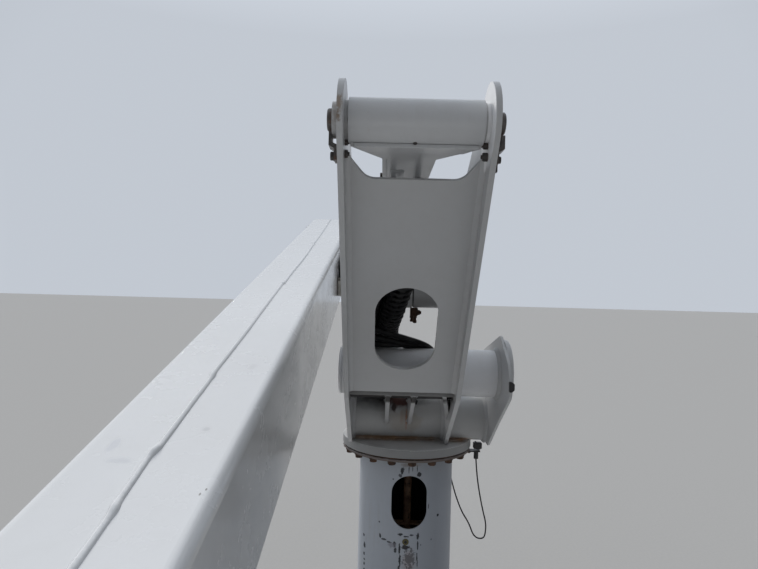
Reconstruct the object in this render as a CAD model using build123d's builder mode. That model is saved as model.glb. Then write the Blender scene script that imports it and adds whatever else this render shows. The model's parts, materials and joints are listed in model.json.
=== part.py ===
from build123d import *
import math
import os

os.makedirs("parts", exist_ok=True)

# ---------------------------------------------------------------------------
# Aerial lift unit of a cherry picker truck, from the bolt-down flange of the
# pedestal to the bucket.  Millimetres.  Origin: centre of the flange's
# underside.  +X right, +Y towards the elbow (front), +Z up.
# Stored folded: lower boom level and forward, upper boom back beside the mast.
# ---------------------------------------------------------------------------

# ---- pedestal -------------------------------------------------------------
COLUMN_R = 203.0            # 16 in pipe
COLUMN_WALL = 10.0
FLANGE_R = 290.0
FLANGE_T = 25.0
FLANGE_BORE_R = 150.0
BOLT_PCD = 510.0
BOLT_COUNT = 16
BOLT_HOLE_R = 10.5
TOP_FLANGE_Z = 863.0
TOP_FLANGE_T = 9.0
TOP_FLANGE_R = 277.0
RING_TOP_Z = 879.0          # slewing ring stands 1 mm under the turntable
RING_R = 266.0
RING_BORE_R = 205.0
WINDOW_X = 8.0              # obround opening in the column's rear wall
WINDOW_Z = 679.0
WINDOW_W = 145.0
WINDOW_H = 217.0
RISER_R = 17.0
RISER_X, RISER_Y = 12.0, 30.0

# ---- turntable and turret --------------------------------------------------
DISC_Z = 880.0
DISC_T = 34.0
DISC_R = 281.0
DISC_TOP = DISC_Z + DISC_T                    # 914
TUBE_R = 90.0
TUBE_WALL = 12.0
LOW_TUBE_Y, LOW_TUBE_Z = -75.0, 1004.0        # lower cross tube axis
UP_TUBE_Y, UP_TUBE_Z = -320.0, 1232.0         # upper cross tube axis
CHEEK_X0, CHEEK_X1 = 326.0, 336.0             # right-hand cheek plate
CHEEK_BOSS_R = 124.0
CHEEK_BOSS_X = 358.0
CHEEK_BOSS_Y, CHEEK_BOSS_Z = -365.0, 1243.0
UP_TUBE_X0 = -270.0

# ---- mast (leans back 36 degrees) ------------------------------------------
MAST_IN_L, MAST_IN_R = -233.0, 145.5          # inner faces of the side plates
MAST_T = 16.0
MAST_X = (MAST_IN_L + MAST_IN_R) / 2
MAST_HALF = (MAST_IN_R - MAST_IN_L) / 2
BACK_Y, BACK_Z = -496.0, 1182.0               # bottom edge of the back plate
BACK_U = (-514.0 / 875.0, 708.0 / 875.0)      # up along the back plate (Y, Z)
BACK_T = 12.0
BACK_FLAT = 826.0                             # height of the flat top edge
BACK_WING = 903.0                             # height of the wings' tips
BACK_WING_X = 130.0
MAST_WIN_W, MAST_WIN_H, MAST_WIN_UP = 203.0, 348.0, 286.0
PIVOT_Y, PIVOT_Z = -1033.0, 1993.5            # lower boom pivot
EAR_R = 106.0
PIN_R = 45.0
THRUST_R = 52.0
PIN_HEAD_R = 30.0
EAR_BOSS_R = 48.0
EAR_BOSS_T_L, EAR_BOSS_T_R = 17.0, 11.5
PIN_HEAD_T_L, PIN_HEAD_T_R = 14.0, 15.0

# ---- lift cylinder ---------------------------------------------------------
CYL_X = -55.0
CYL_BASE_Y, CYL_BASE_Z = -80.0, 1533.0
CYL_EYE_Y, CYL_EYE_Z = -620.0, 1845.0
CYL_PIN_R = 30.0
CYL_EYE_R = 34.0

# ---- lower boom ------------------------------------------------------------
PIVOT_TUBE_R = 60.0
PIVOT_TUBE_X0, PIVOT_TUBE_X1 = -223.0, 131.0
LB_X0, LB_X1 = -134.0, 23.0
LB_Z0, LB_Z1 = 1930.5, 2130.5
LB_WALL = 8.0
LB_Y0, LB_Y1 = -877.0, 1560.0
ROOT_Y0 = -1012.0
ROOT_X0, ROOT_X1 = -219.0, 130.0

# ---- elbow -----------------------------------------------------------------
ELBOW_Y, ELBOW_Z = 1650.0, 1930.0
ELBOW_R = 125.0
SHAFT_R = 55.0
TORQUE_R = 95.0

# ---- upper boom and fly boom (descend to the rear) -------------------------
UB_SLOPE = math.atan(0.2473)
UB_X0, UB_X1 = -676.0, -378.0
UB_X = (UB_X0 + UB_X1) / 2
UB_W = UB_X1 - UB_X0
UB_H = 360.0
UB_WALL = 8.0
UB_BEND = 25.0
UB_PIVOT_UP = 90.0                            # pivot above the boom's centre line
UB_S0, UB_S1 = -240.0, 4400.0                 # along the boom from the pivot
FLY_W, FLY_H, FLY_WALL = 220.0, 290.0, 7.0
FLY_S0, FLY_S1 = 1100.0, 5050.0

# ---- bucket ----------------------------------------------------------------
BUCKET_W, BUCKET_L, BUCKET_H = 610.0, 762.0, 1067.0
BUCKET_X0 = -290.0
BUCKET_Z0 = 120.0
BUCKET_WALL = 8.0

UP_COS, UP_SIN = math.cos(UB_SLOPE), math.sin(UB_SLOPE)
# centre-line point of the upper boom square to the elbow axis
UB_REF_Y = ELBOW_Y + UB_PIVOT_UP * UP_SIN
UB_REF_Z = ELBOW_Z - UB_PIVOT_UP * UP_COS


def boom_plane(s, x=UB_X, v=0.0):
    """Plane square to the upper boom at s; local x is +X, local y is up."""
    y = UB_REF_Y - s * UP_COS - v * UP_SIN
    z = UB_REF_Z - s * UP_SIN + v * UP_COS
    return Plane(origin=(x, y, z), x_dir=(1, 0, 0), z_dir=(0, -UP_COS, -UP_SIN))


def tangent_point(p, c, r, side):
    """Point where the line from p touches the circle (c, r)."""
    dy, dz = c[0] - p[0], c[1] - p[1]
    dist = math.hypot(dy, dz)
    a = math.atan2(dz, dy) + side * math.asin(r / dist)
    run = math.sqrt(dist * dist - r * r)
    return (p[0] + run * math.cos(a), p[1] + run * math.sin(a))


def save(part, name):
    part.part.label = name
    export_step(part.part, f"parts/{name}.step")


# ===========================================================================
# Pedestal
# ===========================================================================
with BuildPart() as base_flange:
    with BuildSketch(Plane.XY):
        Circle(FLANGE_R)
        Circle(FLANGE_BORE_R, mode=Mode.SUBTRACT)
        with PolarLocations(BOLT_PCD / 2, BOLT_COUNT):
            Circle(BOLT_HOLE_R, mode=Mode.SUBTRACT)
    extrude(amount=FLANGE_T)
save(base_flange, "base_flange")

with BuildPart() as pedestal_column:
    with BuildSketch(Plane.XY.offset(FLANGE_T)):
        Circle(COLUMN_R)
        Circle(COLUMN_R - COLUMN_WALL, mode=Mode.SUBTRACT)
    extrude(amount=TOP_FLANGE_Z - FLANGE_T)
    # obround hand hole through the rear wall
    with BuildSketch(Plane.XZ.offset(COLUMN_R - 60)):
        with Locations((WINDOW_X, WINDOW_Z)):
            SlotOverall(WINDOW_H, WINDOW_W, rotation=90)
    extrude(amount=80, mode=Mode.SUBTRACT)
save(pedestal_column, "pedestal_column")

with BuildPart() as pedestal_gussets:
    for k in range(8):
        a = math.radians(11.25 + 45 * k)
        rib = Plane(origin=(0, 0, 0), x_dir=(math.cos(a), math.sin(a), 0),
                    z_dir=(math.sin(a), -math.cos(a), 0))
        with BuildSketch(rib):
            with BuildLine():
                Polyline((COLUMN_R + 0.2, FLANGE_T), (262, FLANGE_T), (262, FLANGE_T + 22),
                         (COLUMN_R + 20, 190), (COLUMN_R + 0.2, 190), close=True)
            make_face()
        extrude(amount=6, both=True)
save(pedestal_gussets, "pedestal_gussets")

with BuildPart() as pedestal_top_flange:
    with BuildSketch(Plane.XY.offset(TOP_FLANGE_Z)):
        Circle(TOP_FLANGE_R)
        Circle(COLUMN_R - COLUMN_WALL - 12, mode=Mode.SUBTRACT)
    extrude(amount=TOP_FLANGE_T)
save(pedestal_top_flange, "pedestal_top_flange")

with BuildPart() as slewing_ring:
    with BuildSketch(Plane.XY.offset(TOP_FLANGE_Z + TOP_FLANGE_T)):
        Circle(RING_R)
        Circle(RING_BORE_R, mode=Mode.SUBTRACT)
    extrude(amount=RING_TOP_Z - TOP_FLANGE_Z - TOP_FLANGE_T)
save(slewing_ring, "slewing_ring")

# hydraulic riser pipe up the middle, on a cross strap under the top flange
with BuildPart() as riser_pipe:
    with BuildSketch(Plane.XY.offset(2)):
        with Locations((RISER_X, RISER_Y)):
            Circle(RISER_R)
            Circle(RISER_R - 4, mode=Mode.SUBTRACT)
    extrude(amount=838)
save(riser_pipe, "riser_pipe")

with BuildPart() as riser_strap:
    with BuildSketch(Plane.XY.offset(500)):
        with Locations((0, RISER_Y)):
            Rectangle(400, 40)
        Circle(COLUMN_R - COLUMN_WALL, mode=Mode.INTERSECT)
        with Locations((RISER_X, RISER_Y)):
            Circle(RISER_R, mode=Mode.SUBTRACT)
    extrude(amount=8)
save(riser_strap, "riser_strap")

# ===========================================================================
# Turntable and turret
# ===========================================================================
with BuildPart() as turntable_disc:
    with BuildSketch(Plane.XY.offset(DISC_Z)):
        Circle(DISC_R)
        with Locations((0, 60)):
            Circle(46, mode=Mode.SUBTRACT)
    extrude(amount=DISC_T)
    fillet(turntable_disc.edges().filter_by(GeomType.CIRCLE).group_by(Axis.Z)[-1]
           .sort_by(SortBy.RADIUS)[-1], radius=4)
save(turntable_disc, "turntable_disc")

# (name, axis Y, axis Z, X from, X to)
CROSS_TUBES = [
    ("lower_cross_tube", LOW_TUBE_Y, LOW_TUBE_Z, MAST_IN_L - MAST_T, CHEEK_X0),
    ("upper_cross_tube", UP_TUBE_Y, UP_TUBE_Z, UP_TUBE_X0, CHEEK_X0),
]
for name, ty, tz, x0, x1 in CROSS_TUBES:
    with BuildPart() as cross_tube:
        with BuildSketch(Plane.YZ.offset(x0)):
            with Locations((ty, tz)):
                Circle(TUBE_R)
        extrude(amount=x1 - x0)
        with BuildSketch(Plane.YZ.offset(x0 + 10)):
            with Locations((ty, tz)):
                Circle(TUBE_R - TUBE_WALL)
        extrude(amount=x1 - x0 - 10, mode=Mode.SUBTRACT)
        edges_left = cross_tube.edges().filter_by(GeomType.CIRCLE).group_by(Axis.X)[0]
        chamfer(edges_left.sort_by(SortBy.RADIUS)[-1], length=4)
    save(cross_tube, name)

# saddle ribs that carry the lower tube on the disc, ahead of its weld line
with BuildPart() as tube_saddles:
    for x in (-165.0, 12.0, 100.0):
        with BuildSketch(Plane.YZ.offset(x)):
            with BuildLine():
                Polyline((-60, DISC_TOP), (100, DISC_TOP), (100, DISC_TOP + 20),
                         (10, 1030), (-60, 1030), close=True)
            make_face()
            with Locations((LOW_TUBE_Y, LOW_TUBE_Z)):
                Circle(TUBE_R + 0.1, mode=Mode.SUBTRACT)
        extrude(amount=12)
save(tube_saddles, "tube_saddles")

with BuildPart() as cheek_plate:
    with BuildSketch(Plane.YZ.offset(CHEEK_X0)):
        with BuildLine():
            FilletPolyline((-172, 914), (-352, 1044), (-565, 1186), (-530, 1292), (-375, 1384),
                           (-40, 1297), (110, 1190), (120, 935),
                           radius=[400, 38, 90, 22, 120, 60], close=False)
            Line((120, 935), (-172, 914))
        make_face()
    extrude(amount=CHEEK_X1 - CHEEK_X0)
save(cheek_plate, "cheek_plate")

with BuildPart() as cheek_boss:
    with BuildSketch(Plane.YZ.offset(CHEEK_X1)):
        with Locations((CHEEK_BOSS_Y, CHEEK_BOSS_Z)):
            Circle(CHEEK_BOSS_R)
    extrude(amount=CHEEK_BOSS_X - CHEEK_X1)
    fillet(cheek_boss.edges().filter_by(GeomType.CIRCLE).group_by(Axis.X)[-1], radius=7)
    with BuildSketch(Plane.YZ.offset(CHEEK_BOSS_X)):
        with Locations((CHEEK_BOSS_Y, CHEEK_BOSS_Z)):
            Circle(60)
    extrude(amount=12)
save(cheek_boss, "cheek_boss")

# side plates: (name, inner face X, direction of thickness)
MAST_FOOT_REAR = (-175.0, DISC_TOP)
MAST_REAR_LOW = (-524.0, 1161.0)
MAST_FRONT = [(20.0, 1625.0), (130.0, 1400.0), (150.0, DISC_TOP)]
EAR_C = (PIVOT_Y, PIVOT_Z)
ear_rear = tangent_point(MAST_REAR_LOW, EAR_C, EAR_R, +1)
ear_front = tangent_point(MAST_FRONT[0], EAR_C, EAR_R, -1)
ear_top = (PIVOT_Y + EAR_R * math.cos(math.radians(100)),
           PIVOT_Z + EAR_R * math.sin(math.radians(100)))
MAST_SIDES = [("mast_left_plate", MAST_IN_L, -MAST_T),
              ("mast_right_plate", MAST_IN_R, MAST_T)]
for name, x_in, t in MAST_SIDES:
    with BuildPart() as side_plate:
        with BuildSketch(Plane.YZ.offset(x_in)):
            with BuildLine():
                Polyline(ear_front, *MAST_FRONT, MAST_FOOT_REAR, MAST_REAR_LOW, ear_rear)
                ThreePointArc(ear_rear, ear_top, ear_front)
            make_face()
            with Locations((LOW_TUBE_Y, LOW_TUBE_Z), (UP_TUBE_Y, UP_TUBE_Z)):
                Circle(TUBE_R + 0.05, mode=Mode.SUBTRACT)
            with Locations((CYL_BASE_Y, CYL_BASE_Z)):
                Circle(CYL_PIN_R, mode=Mode.SUBTRACT)
            with Locations((PIVOT_Y, PIVOT_Z)):
                Circle(PIN_R, mode=Mode.SUBTRACT)
        extrude(amount=t)
    save(side_plate, name)

back_plane = Plane(origin=(MAST_X, BACK_Y, BACK_Z), x_dir=(1, 0, 0),
                   z_dir=(0, -BACK_U[1], BACK_U[0]))
with BuildPart() as mast_back_plate:
    with BuildSketch(back_plane):
        with BuildLine():
            Polyline((-MAST_HALF, 0), (MAST_HALF, 0), (MAST_HALF, BACK_WING),
                     (BACK_WING_X, BACK_FLAT), (-BACK_WING_X, BACK_FLAT),
                     (-MAST_HALF, BACK_WING), close=True)
        outline = make_face()
        fillet([v for v in outline.vertices()
                if abs(v.X) < BACK_WING_X + 1 and v.Y > 100], radius=45)
        with Locations((0, MAST_WIN_UP)):
            SlotOverall(MAST_WIN_H, MAST_WIN_W, rotation=90, mode=Mode.SUBTRACT)
    extrude(amount=-BACK_T)
save(mast_back_plate, "mast_back_plate")

# plate that closes the foot of the mast, back to the upper tube
with BuildPart() as mast_shelf:
    with BuildSketch(Plane.YZ.offset(MAST_IN_L)):
        with BuildLine():
            Polyline((-485, 1181), (-330, 1141), (-330, 1129), (-490, 1170), close=True)
        make_face()
        with Locations((UP_TUBE_Y, UP_TUBE_Z)):
            Circle(TUBE_R + 0.05, mode=Mode.SUBTRACT)
    extrude(amount=MAST_IN_R - MAST_IN_L)
save(mast_shelf, "mast_shelf")

# (X of the left face at the rear end, run to the right for each mm forward);
# the right-hand one stands skewed and runs into the side plate
MAST_GUSSETS = [(-101.0, 0.0), (-6.0, 0.0), (101.0, 0.175)]
with BuildPart() as mast_gussets:
    for x, skew in MAST_GUSSETS:
        run = math.hypot(1, skew)
        rib = Plane(origin=(x, -488, 0), x_dir=(skew / run, 1 / run, 0),
                    z_dir=(1 / run, -skew / run, 0))
        with BuildSketch(rib):
            with BuildLine():
                Polyline(*[((y + 488) * run, z) for y, z in
                           [(-488, 1168.5), (-330, 1128), (-250, 1128), (-60, 1096),
                            (-100, 1070), (-168, 990)]], close=True)
            make_face()
        extrude(amount=15)
    for ty, tz in ((UP_TUBE_Y, UP_TUBE_Z), (LOW_TUBE_Y, LOW_TUBE_Z)):
        with BuildSketch(Plane.YZ.offset(MAST_IN_L)):
            with Locations((ty, tz)):
                Circle(TUBE_R + 0.1)
        extrude(amount=500, mode=Mode.SUBTRACT)
    with BuildSketch(Plane.YZ.offset(MAST_IN_R)):
        with Locations((-280, 1080)):
            Rectangle(600, 400)
    extrude(amount=120, mode=Mode.SUBTRACT)
save(mast_gussets, "mast_gussets")

# round bosses on the outside of the ears, and thrust rings on the inside
# (X from, X to, outer radius)
EAR_OUT_L, EAR_OUT_R = MAST_IN_L - MAST_T, MAST_IN_R + MAST_T
with BuildPart() as ear_bosses:
    for x0, x1, r in [(EAR_OUT_L - EAR_BOSS_T_L, EAR_OUT_L, EAR_BOSS_R),
                      (EAR_OUT_R, EAR_OUT_R + EAR_BOSS_T_R, EAR_BOSS_R)]:
        with BuildSketch(Plane.YZ.offset(x0)):
            with Locations((PIVOT_Y, PIVOT_Z)):
                Circle(r)
                Circle(PIN_HEAD_R, mode=Mode.SUBTRACT)
        extrude(amount=x1 - x0)
save(ear_bosses, "ear_bosses")

with BuildPart() as thrust_rings:
    for x0, x1 in [(MAST_IN_L, PIVOT_TUBE_X0 - 1), (PIVOT_TUBE_X1 + 1, MAST_IN_R)]:
        with BuildSketch(Plane.YZ.offset(x0)):
            with Locations((PIVOT_Y, PIVOT_Z)):
                Circle(THRUST_R)
                Circle(PIN_R + 0.1, mode=Mode.SUBTRACT)
        extrude(amount=x1 - x0)
save(thrust_rings, "thrust_rings")

with BuildPart() as boom_pivot_pin:
    # (X from, X to, radius): head, shank, head
    for x0, x1, r in [(EAR_OUT_L - EAR_BOSS_T_L - PIN_HEAD_T_L, EAR_OUT_L, PIN_HEAD_R),
                      (EAR_OUT_L, EAR_OUT_R, PIN_R),
                      (EAR_OUT_R, EAR_OUT_R + EAR_BOSS_T_R + PIN_HEAD_T_R, PIN_HEAD_R)]:
        with BuildSketch(Plane.YZ.offset(x0)):
            with Locations((PIVOT_Y, PIVOT_Z)):
                Circle(r)
        extrude(amount=x1 - x0)
    chamfer(boom_pivot_pin.edges().filter_by(GeomType.CIRCLE).group_by(Axis.X)[0], length=3)
    chamfer(boom_pivot_pin.edges().filter_by(GeomType.CIRCLE).group_by(Axis.X)[-1], length=3)
save(boom_pivot_pin, "boom_pivot_pin")

# keepers: a foot bolted to each ear, joggled outward to a tongue over the boss
# (ear's outer face X, outward direction, inner and outer face of the tongue)
with BuildPart() as pin_keepers:
    for x, out, t0, t1 in [(EAR_OUT_L, -1, EAR_BOSS_T_L + 0.2, EAR_BOSS_T_L + 8),
                           (EAR_OUT_R, 1, EAR_BOSS_T_R + 3, EAR_BOSS_T_R + 13)]:
        with BuildSketch(Plane.XZ.offset(-(PIVOT_Y + 25))):
            with BuildLine():
                Polyline((x, 1884), (x + out * 10, 1884), (x + out * 10, 1913),
                         (x + out * t1, 1922), (x + out * t1, 1957), (x + out * t0, 1957),
                         (x + out * t0, 1930), (x, 1922), close=True)
            make_face()
        extrude(amount=50)
save(pin_keepers, "pin_keepers")

# lift cylinder's base: stub tubes on the side plates, and their pin
with BuildPart() as cylinder_base_stubs:
    for x0, x1 in [(MAST_IN_L, CYL_X - 64), (CYL_X + 64, MAST_IN_R)]:
        with BuildSketch(Plane.YZ.offset(x0)):
            with Locations((CYL_BASE_Y, CYL_BASE_Z)):
                Circle(60)
                Circle(CYL_PIN_R, mode=Mode.SUBTRACT)
        extrude(amount=x1 - x0)
save(cylinder_base_stubs, "cylinder_base_stubs")

with BuildPart() as cylinder_base_pin:
    with BuildSketch(Plane.YZ.offset(EAR_OUT_L - 8)):
        with Locations((CYL_BASE_Y, CYL_BASE_Z)):
            Circle(CYL_PIN_R)
    extrude(amount=EAR_OUT_R - EAR_OUT_L + 16)
save(cylinder_base_pin, "cylinder_base_pin")

# rotation gearbox and its hydraulic motor, on the disc ahead of the tubes
with BuildPart() as slew_gearbox:
    # (radius, Z from, Z to)
    for r, z0, z1 in [(72, DISC_TOP, 934), (60, 934, 1040), (68, 1040, 1058)]:
        with BuildSketch(Plane.XY.offset(z0)):
            with Locations((55, 178)):
                Circle(r)
        extrude(amount=z1 - z0)
save(slew_gearbox, "slew_gearbox")

with BuildPart() as slew_motor:
    with BuildSketch(Plane.XY.offset(1058)):
        with Locations((55, 178)):
            Circle(44)
    extrude(amount=110)
    with BuildSketch(Plane.XY.offset(1100)):
        with Locations((55, 232)):
            Rectangle(60, 50)
    extrude(amount=50)
save(slew_motor, "slew_motor")

# bundle of hoses up through the mast, and the strap that holds its top
HOSE_R = 50.0
HOSE_ROUTE = [(-64, 68, 916), (-72, 70, 1130), (-95, -70, 1335), (-108, -290, 1400),
              (-87, -470, 1475), (-52, -610, 1610), (-35, -715, 1780)]
with BuildPart() as hose_bundle:
    with BuildLine() as hose_line:
        FilletPolyline(*HOSE_ROUTE, radius=[150, 150, 150, 150, 150])
    start = Vector(*HOSE_ROUTE[0])
    first = Vector(*HOSE_ROUTE[1]) - start
    with BuildSketch(Plane(origin=start, z_dir=first)):
        Circle(HOSE_R)
    sweep(path=hose_line.line)
save(hose_bundle, "hose_bundle")

with BuildPart() as hose_clamp:
    clamp_dir = (Vector(*HOSE_ROUTE[-1]) - Vector(*HOSE_ROUTE[-2])).normalized()
    clamp_at = Vector(*HOSE_ROUTE[-1]) + clamp_dir * 2
    with BuildSketch(Plane(origin=clamp_at, x_dir=(1, 0, 0), z_dir=clamp_dir)):
        with Locations((-20, 0)):
            RectangleRounded(160, 104, 20)
    extrude(amount=20)
    with BuildSketch(Plane.YZ.offset(MAST_IN_L)):
        with Locations((clamp_at.Y + 10 * clamp_dir.Y, clamp_at.Z + 10 * clamp_dir.Z)):
            Rectangle(60, 12, rotation=math.degrees(math.atan2(clamp_dir.Z, clamp_dir.Y)) + 90)
    extrude(amount=110)
save(hose_clamp, "hose_clamp")

# ===========================================================================
# Lift cylinder
# ===========================================================================
cyl_len = math.hypot(CYL_EYE_Y - CYL_BASE_Y, CYL_EYE_Z - CYL_BASE_Z)
cyl_u = ((CYL_EYE_Y - CYL_BASE_Y) / cyl_len, (CYL_EYE_Z - CYL_BASE_Z) / cyl_len)


def cyl_plane(s):
    return Plane(origin=(CYL_X, CYL_BASE_Y + s * cyl_u[0], CYL_BASE_Z + s * cyl_u[1]),
                 x_dir=(1, 0, 0), z_dir=(0, cyl_u[0], cyl_u[1]))


with BuildPart() as lift_cylinder_barrel:
    with BuildSketch(Plane.YZ.offset(CYL_X - 58)):
        with Locations((CYL_BASE_Y, CYL_BASE_Z)):
            Circle(62)
    extrude(amount=116)
    # (radius, from, to) along the cylinder
    for r, s0, s1 in [(55, 40, 511), (61, 511, 549)]:
        with BuildSketch(cyl_plane(s0)):
            Circle(r)
        extrude(amount=s1 - s0)
    with BuildSketch(cyl_plane(70)):
        Circle(46)
    extrude(amount=461, mode=Mode.SUBTRACT)
    with BuildSketch(cyl_plane(531)):
        Circle(28.1)
    extrude(amount=20, mode=Mode.SUBTRACT)
    with BuildSketch(Plane.YZ.offset(CYL_X - 60)):
        with Locations((CYL_BASE_Y, CYL_BASE_Z)):
            Circle(CYL_PIN_R + 0.05)
    extrude(amount=120, mode=Mode.SUBTRACT)
save(lift_cylinder_barrel, "lift_cylinder_barrel")

with BuildPart() as lift_cylinder_rod:
    for r, s0, s1 in [(44, 80, 108), (28, 108, cyl_len - 20)]:
        with BuildSketch(cyl_plane(s0)):
            Circle(r)
        extrude(amount=s1 - s0)
    with BuildSketch(Plane.YZ.offset(CYL_X - 25)):
        with Locations((CYL_EYE_Y, CYL_EYE_Z)):
            Circle(CYL_EYE_R)
    extrude(amount=50)
    with BuildSketch(Plane.YZ.offset(CYL_X - 30)):
        with Locations((CYL_EYE_Y, CYL_EYE_Z)):
            Circle(18)
    extrude(amount=60, mode=Mode.SUBTRACT)
save(lift_cylinder_rod, "lift_cylinder_rod")

# ===========================================================================
# Lower boom
# ===========================================================================
with BuildPart() as boom_pivot_tube:
    with BuildSketch(Plane.YZ.offset(PIVOT_TUBE_X0)):
        with Locations((PIVOT_Y, PIVOT_Z)):
            Circle(PIVOT_TUBE_R)
            Circle(PIN_R + 0.05, mode=Mode.SUBTRACT)
    extrude(amount=PIVOT_TUBE_X1 - PIVOT_TUBE_X0)
save(boom_pivot_tube, "boom_pivot_tube")

# flared root from the pivot tube to the box: plan outline, hollow
with BuildPart() as lower_boom_root:
    with BuildSketch(Plane.XY.offset(LB_Z0)):
        with BuildLine():
            Polyline((ROOT_X0, PIVOT_Y), (ROOT_X1, PIVOT_Y), (ROOT_X1, ROOT_Y0),
                     (LB_X1, LB_Y0), (LB_X0, LB_Y0), (ROOT_X0, ROOT_Y0), close=True)
        make_face()
    extrude(amount=178)
    with BuildSketch(Plane.XY.offset(LB_Z0 + 10)):
        with BuildLine():
            Polyline((ROOT_X0 + 10, PIVOT_Y), (ROOT_X1 - 10, PIVOT_Y), (ROOT_X1 - 10, ROOT_Y0),
                     (LB_X1 - 10, LB_Y0 + 5), (LB_X0 + 10, LB_Y0 + 5),
                     (ROOT_X0 + 10, ROOT_Y0), close=True)
        make_face()
    extrude(amount=105, mode=Mode.SUBTRACT)
    # sloping top from the tube's crown to the box
    with BuildSketch(Plane.YZ.offset(ROOT_X0 - 5)):
        with BuildLine():
            Polyline((PIVOT_Y - 60, 2052), (PIVOT_Y, 2052), (LB_Y0, 2108), (LB_Y0 + 40, 2160),
                     (PIVOT_Y - 60, 2160), close=True)
        make_face()
        with Locations((PIVOT_Y, PIVOT_Z)):
            Circle(PIVOT_TUBE_R)
    extrude(amount=ROOT_X1 - ROOT_X0 + 10, mode=Mode.SUBTRACT)
save(lower_boom_root, "lower_boom_root")

with BuildPart() as lower_boom_box:
    with BuildSketch(Plane.YZ.offset(LB_X0)):
        with BuildLine():
            Polyline((LB_Y0, LB_Z0), (LB_Y1, LB_Z0), (LB_Y1, LB_Z1), (LB_Y0 + 87, LB_Z1),
                     (LB_Y0, LB_Z0 + 178), close=True)
        make_face()
    extrude(amount=LB_X1 - LB_X0)
    fillet(lower_boom_box.edges().filter_by(Axis.Y).group_by(Axis.Z)[-1], radius=12)
    with BuildSketch(Plane.YZ.offset(LB_X0 + LB_WALL)):
        with BuildLine():
            Polyline((LB_Y0 - 5, LB_Z0 + LB_WALL), (LB_Y1 + 5, LB_Z0 + LB_WALL),
                     (LB_Y1 + 5, LB_Z1 - LB_WALL), (LB_Y0 + 87, LB_Z1 - LB_WALL),
                     (LB_Y0 - 5, LB_Z0 + 168), close=True)
        make_face()
    extrude(amount=LB_X1 - LB_X0 - 2 * LB_WALL, mode=Mode.SUBTRACT)
save(lower_boom_box, "lower_boom_box")

# lugs for the lift cylinder's rod; the pin shows as a head on each outer face
LUG_C = (CYL_EYE_Y, CYL_EYE_Z)
LUG_Y0, LUG_Y1 = -564.0, -465.0               # root of the lugs under the box
lug_a = tangent_point((LUG_Y0, LB_Z0), LUG_C, 38, -1)
lug_b = tangent_point((LUG_Y1, LB_Z0), LUG_C, 38, +1)
with BuildPart() as lift_lugs:
    for x0, xh in [(CYL_X - 52, CYL_X - 62), (CYL_X + 32, CYL_X + 52)]:
        with BuildSketch(Plane.YZ.offset(x0)):
            with BuildLine():
                Polyline((LUG_Y0, LB_Z0), (LUG_Y1, LB_Z0))
                Line((LUG_Y1, LB_Z0), lug_b)
                ThreePointArc(lug_b, (CYL_EYE_Y, CYL_EYE_Z - 38), lug_a)
                Line(lug_a, (LUG_Y0, LB_Z0))
            make_face()
        extrude(amount=20)
        with BuildSketch(Plane.YZ.offset(xh)):
            with Locations(LUG_C):
                Circle(24)
        extrude(amount=10)
save(lift_lugs, "lift_lugs")

# elbow: two bracket plates, an end plate, and the shaft with its torque tube
with BuildPart() as elbow_bracket:
    for x0 in (LB_X0 - 16, LB_X1):
        with BuildSketch(Plane.YZ.offset(x0)):
            with BuildLine():
                a1 = tangent_point((1400, LB_Z1), (ELBOW_Y, ELBOW_Z), ELBOW_R, +1)
                a2 = tangent_point((1300, LB_Z0), (ELBOW_Y, ELBOW_Z), ELBOW_R, -1)
                Polyline(a1, (1400, LB_Z1), (1300, LB_Z1 - 60), (1300, LB_Z0), a2)
                ThreePointArc(a2, (ELBOW_Y + ELBOW_R, ELBOW_Z), a1)
            make_face()
            with Locations((ELBOW_Y, ELBOW_Z)):
                Circle(SHAFT_R if x0 > 0 else TORQUE_R, mode=Mode.SUBTRACT)
        extrude(amount=16)
    with BuildSketch(Plane.XZ.offset(-(LB_Y1 + 12))):
        with Locations(((LB_X0 + LB_X1) / 2, LB_Z0 + 135)):
            Rectangle(LB_X1 - LB_X0, 100)
    extrude(amount=12)
save(elbow_bracket, "elbow_bracket")

with BuildPart() as elbow_shaft:
    # (X from, X to, radius): torque tube, shaft, retaining disc, its hub, right head
    for x0, x1, r in [(-372, LB_X0, TORQUE_R), (-686, -372, SHAFT_R),
                      (-696, -686, 64), (-702, -696, 34), (LB_X0, LB_X1 + 16, SHAFT_R),
                      (LB_X1 + 16, LB_X1 + 30, 72)]:
        with BuildSketch(Plane.YZ.offset(x0)):
            with Locations((ELBOW_Y, ELBOW_Z)):
                Circle(r)
        extrude(amount=x1 - x0)
save(elbow_shaft, "elbow_shaft")

# ===========================================================================
# Upper boom
# ===========================================================================
with BuildPart() as upper_boom_box:
    with BuildSketch(boom_plane(UB_S0)):
        RectangleRounded(UB_W, UB_H, UB_BEND)
        RectangleRounded(UB_W - 2 * UB_WALL, UB_H - 2 * UB_WALL, UB_BEND - UB_WALL,
                         mode=Mode.SUBTRACT)
    extrude(amount=UB_S1 - UB_S0)
    with BuildSketch(Plane.YZ.offset(UB_X0 - 10)):
        with Locations((ELBOW_Y, ELBOW_Z)):
            Circle(78)
    extrude(amount=UB_W + 20, mode=Mode.SUBTRACT)
save(upper_boom_box, "upper_boom_box")

with BuildPart() as elbow_hub:
    with BuildSketch(Plane.YZ.offset(UB_X0 - 4)):
        with Locations((ELBOW_Y, ELBOW_Z)):
            Circle(78)
            Circle(SHAFT_R + 0.05, mode=Mode.SUBTRACT)
    extrude(amount=UB_W + 5)
save(elbow_hub, "elbow_hub")

with BuildPart() as upper_boom_cap:
    with BuildSketch(boom_plane(UB_S0 - 10)):
        RectangleRounded(UB_W, UB_H, UB_BEND)
    extrude(amount=10)
save(upper_boom_cap, "upper_boom_cap")

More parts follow.
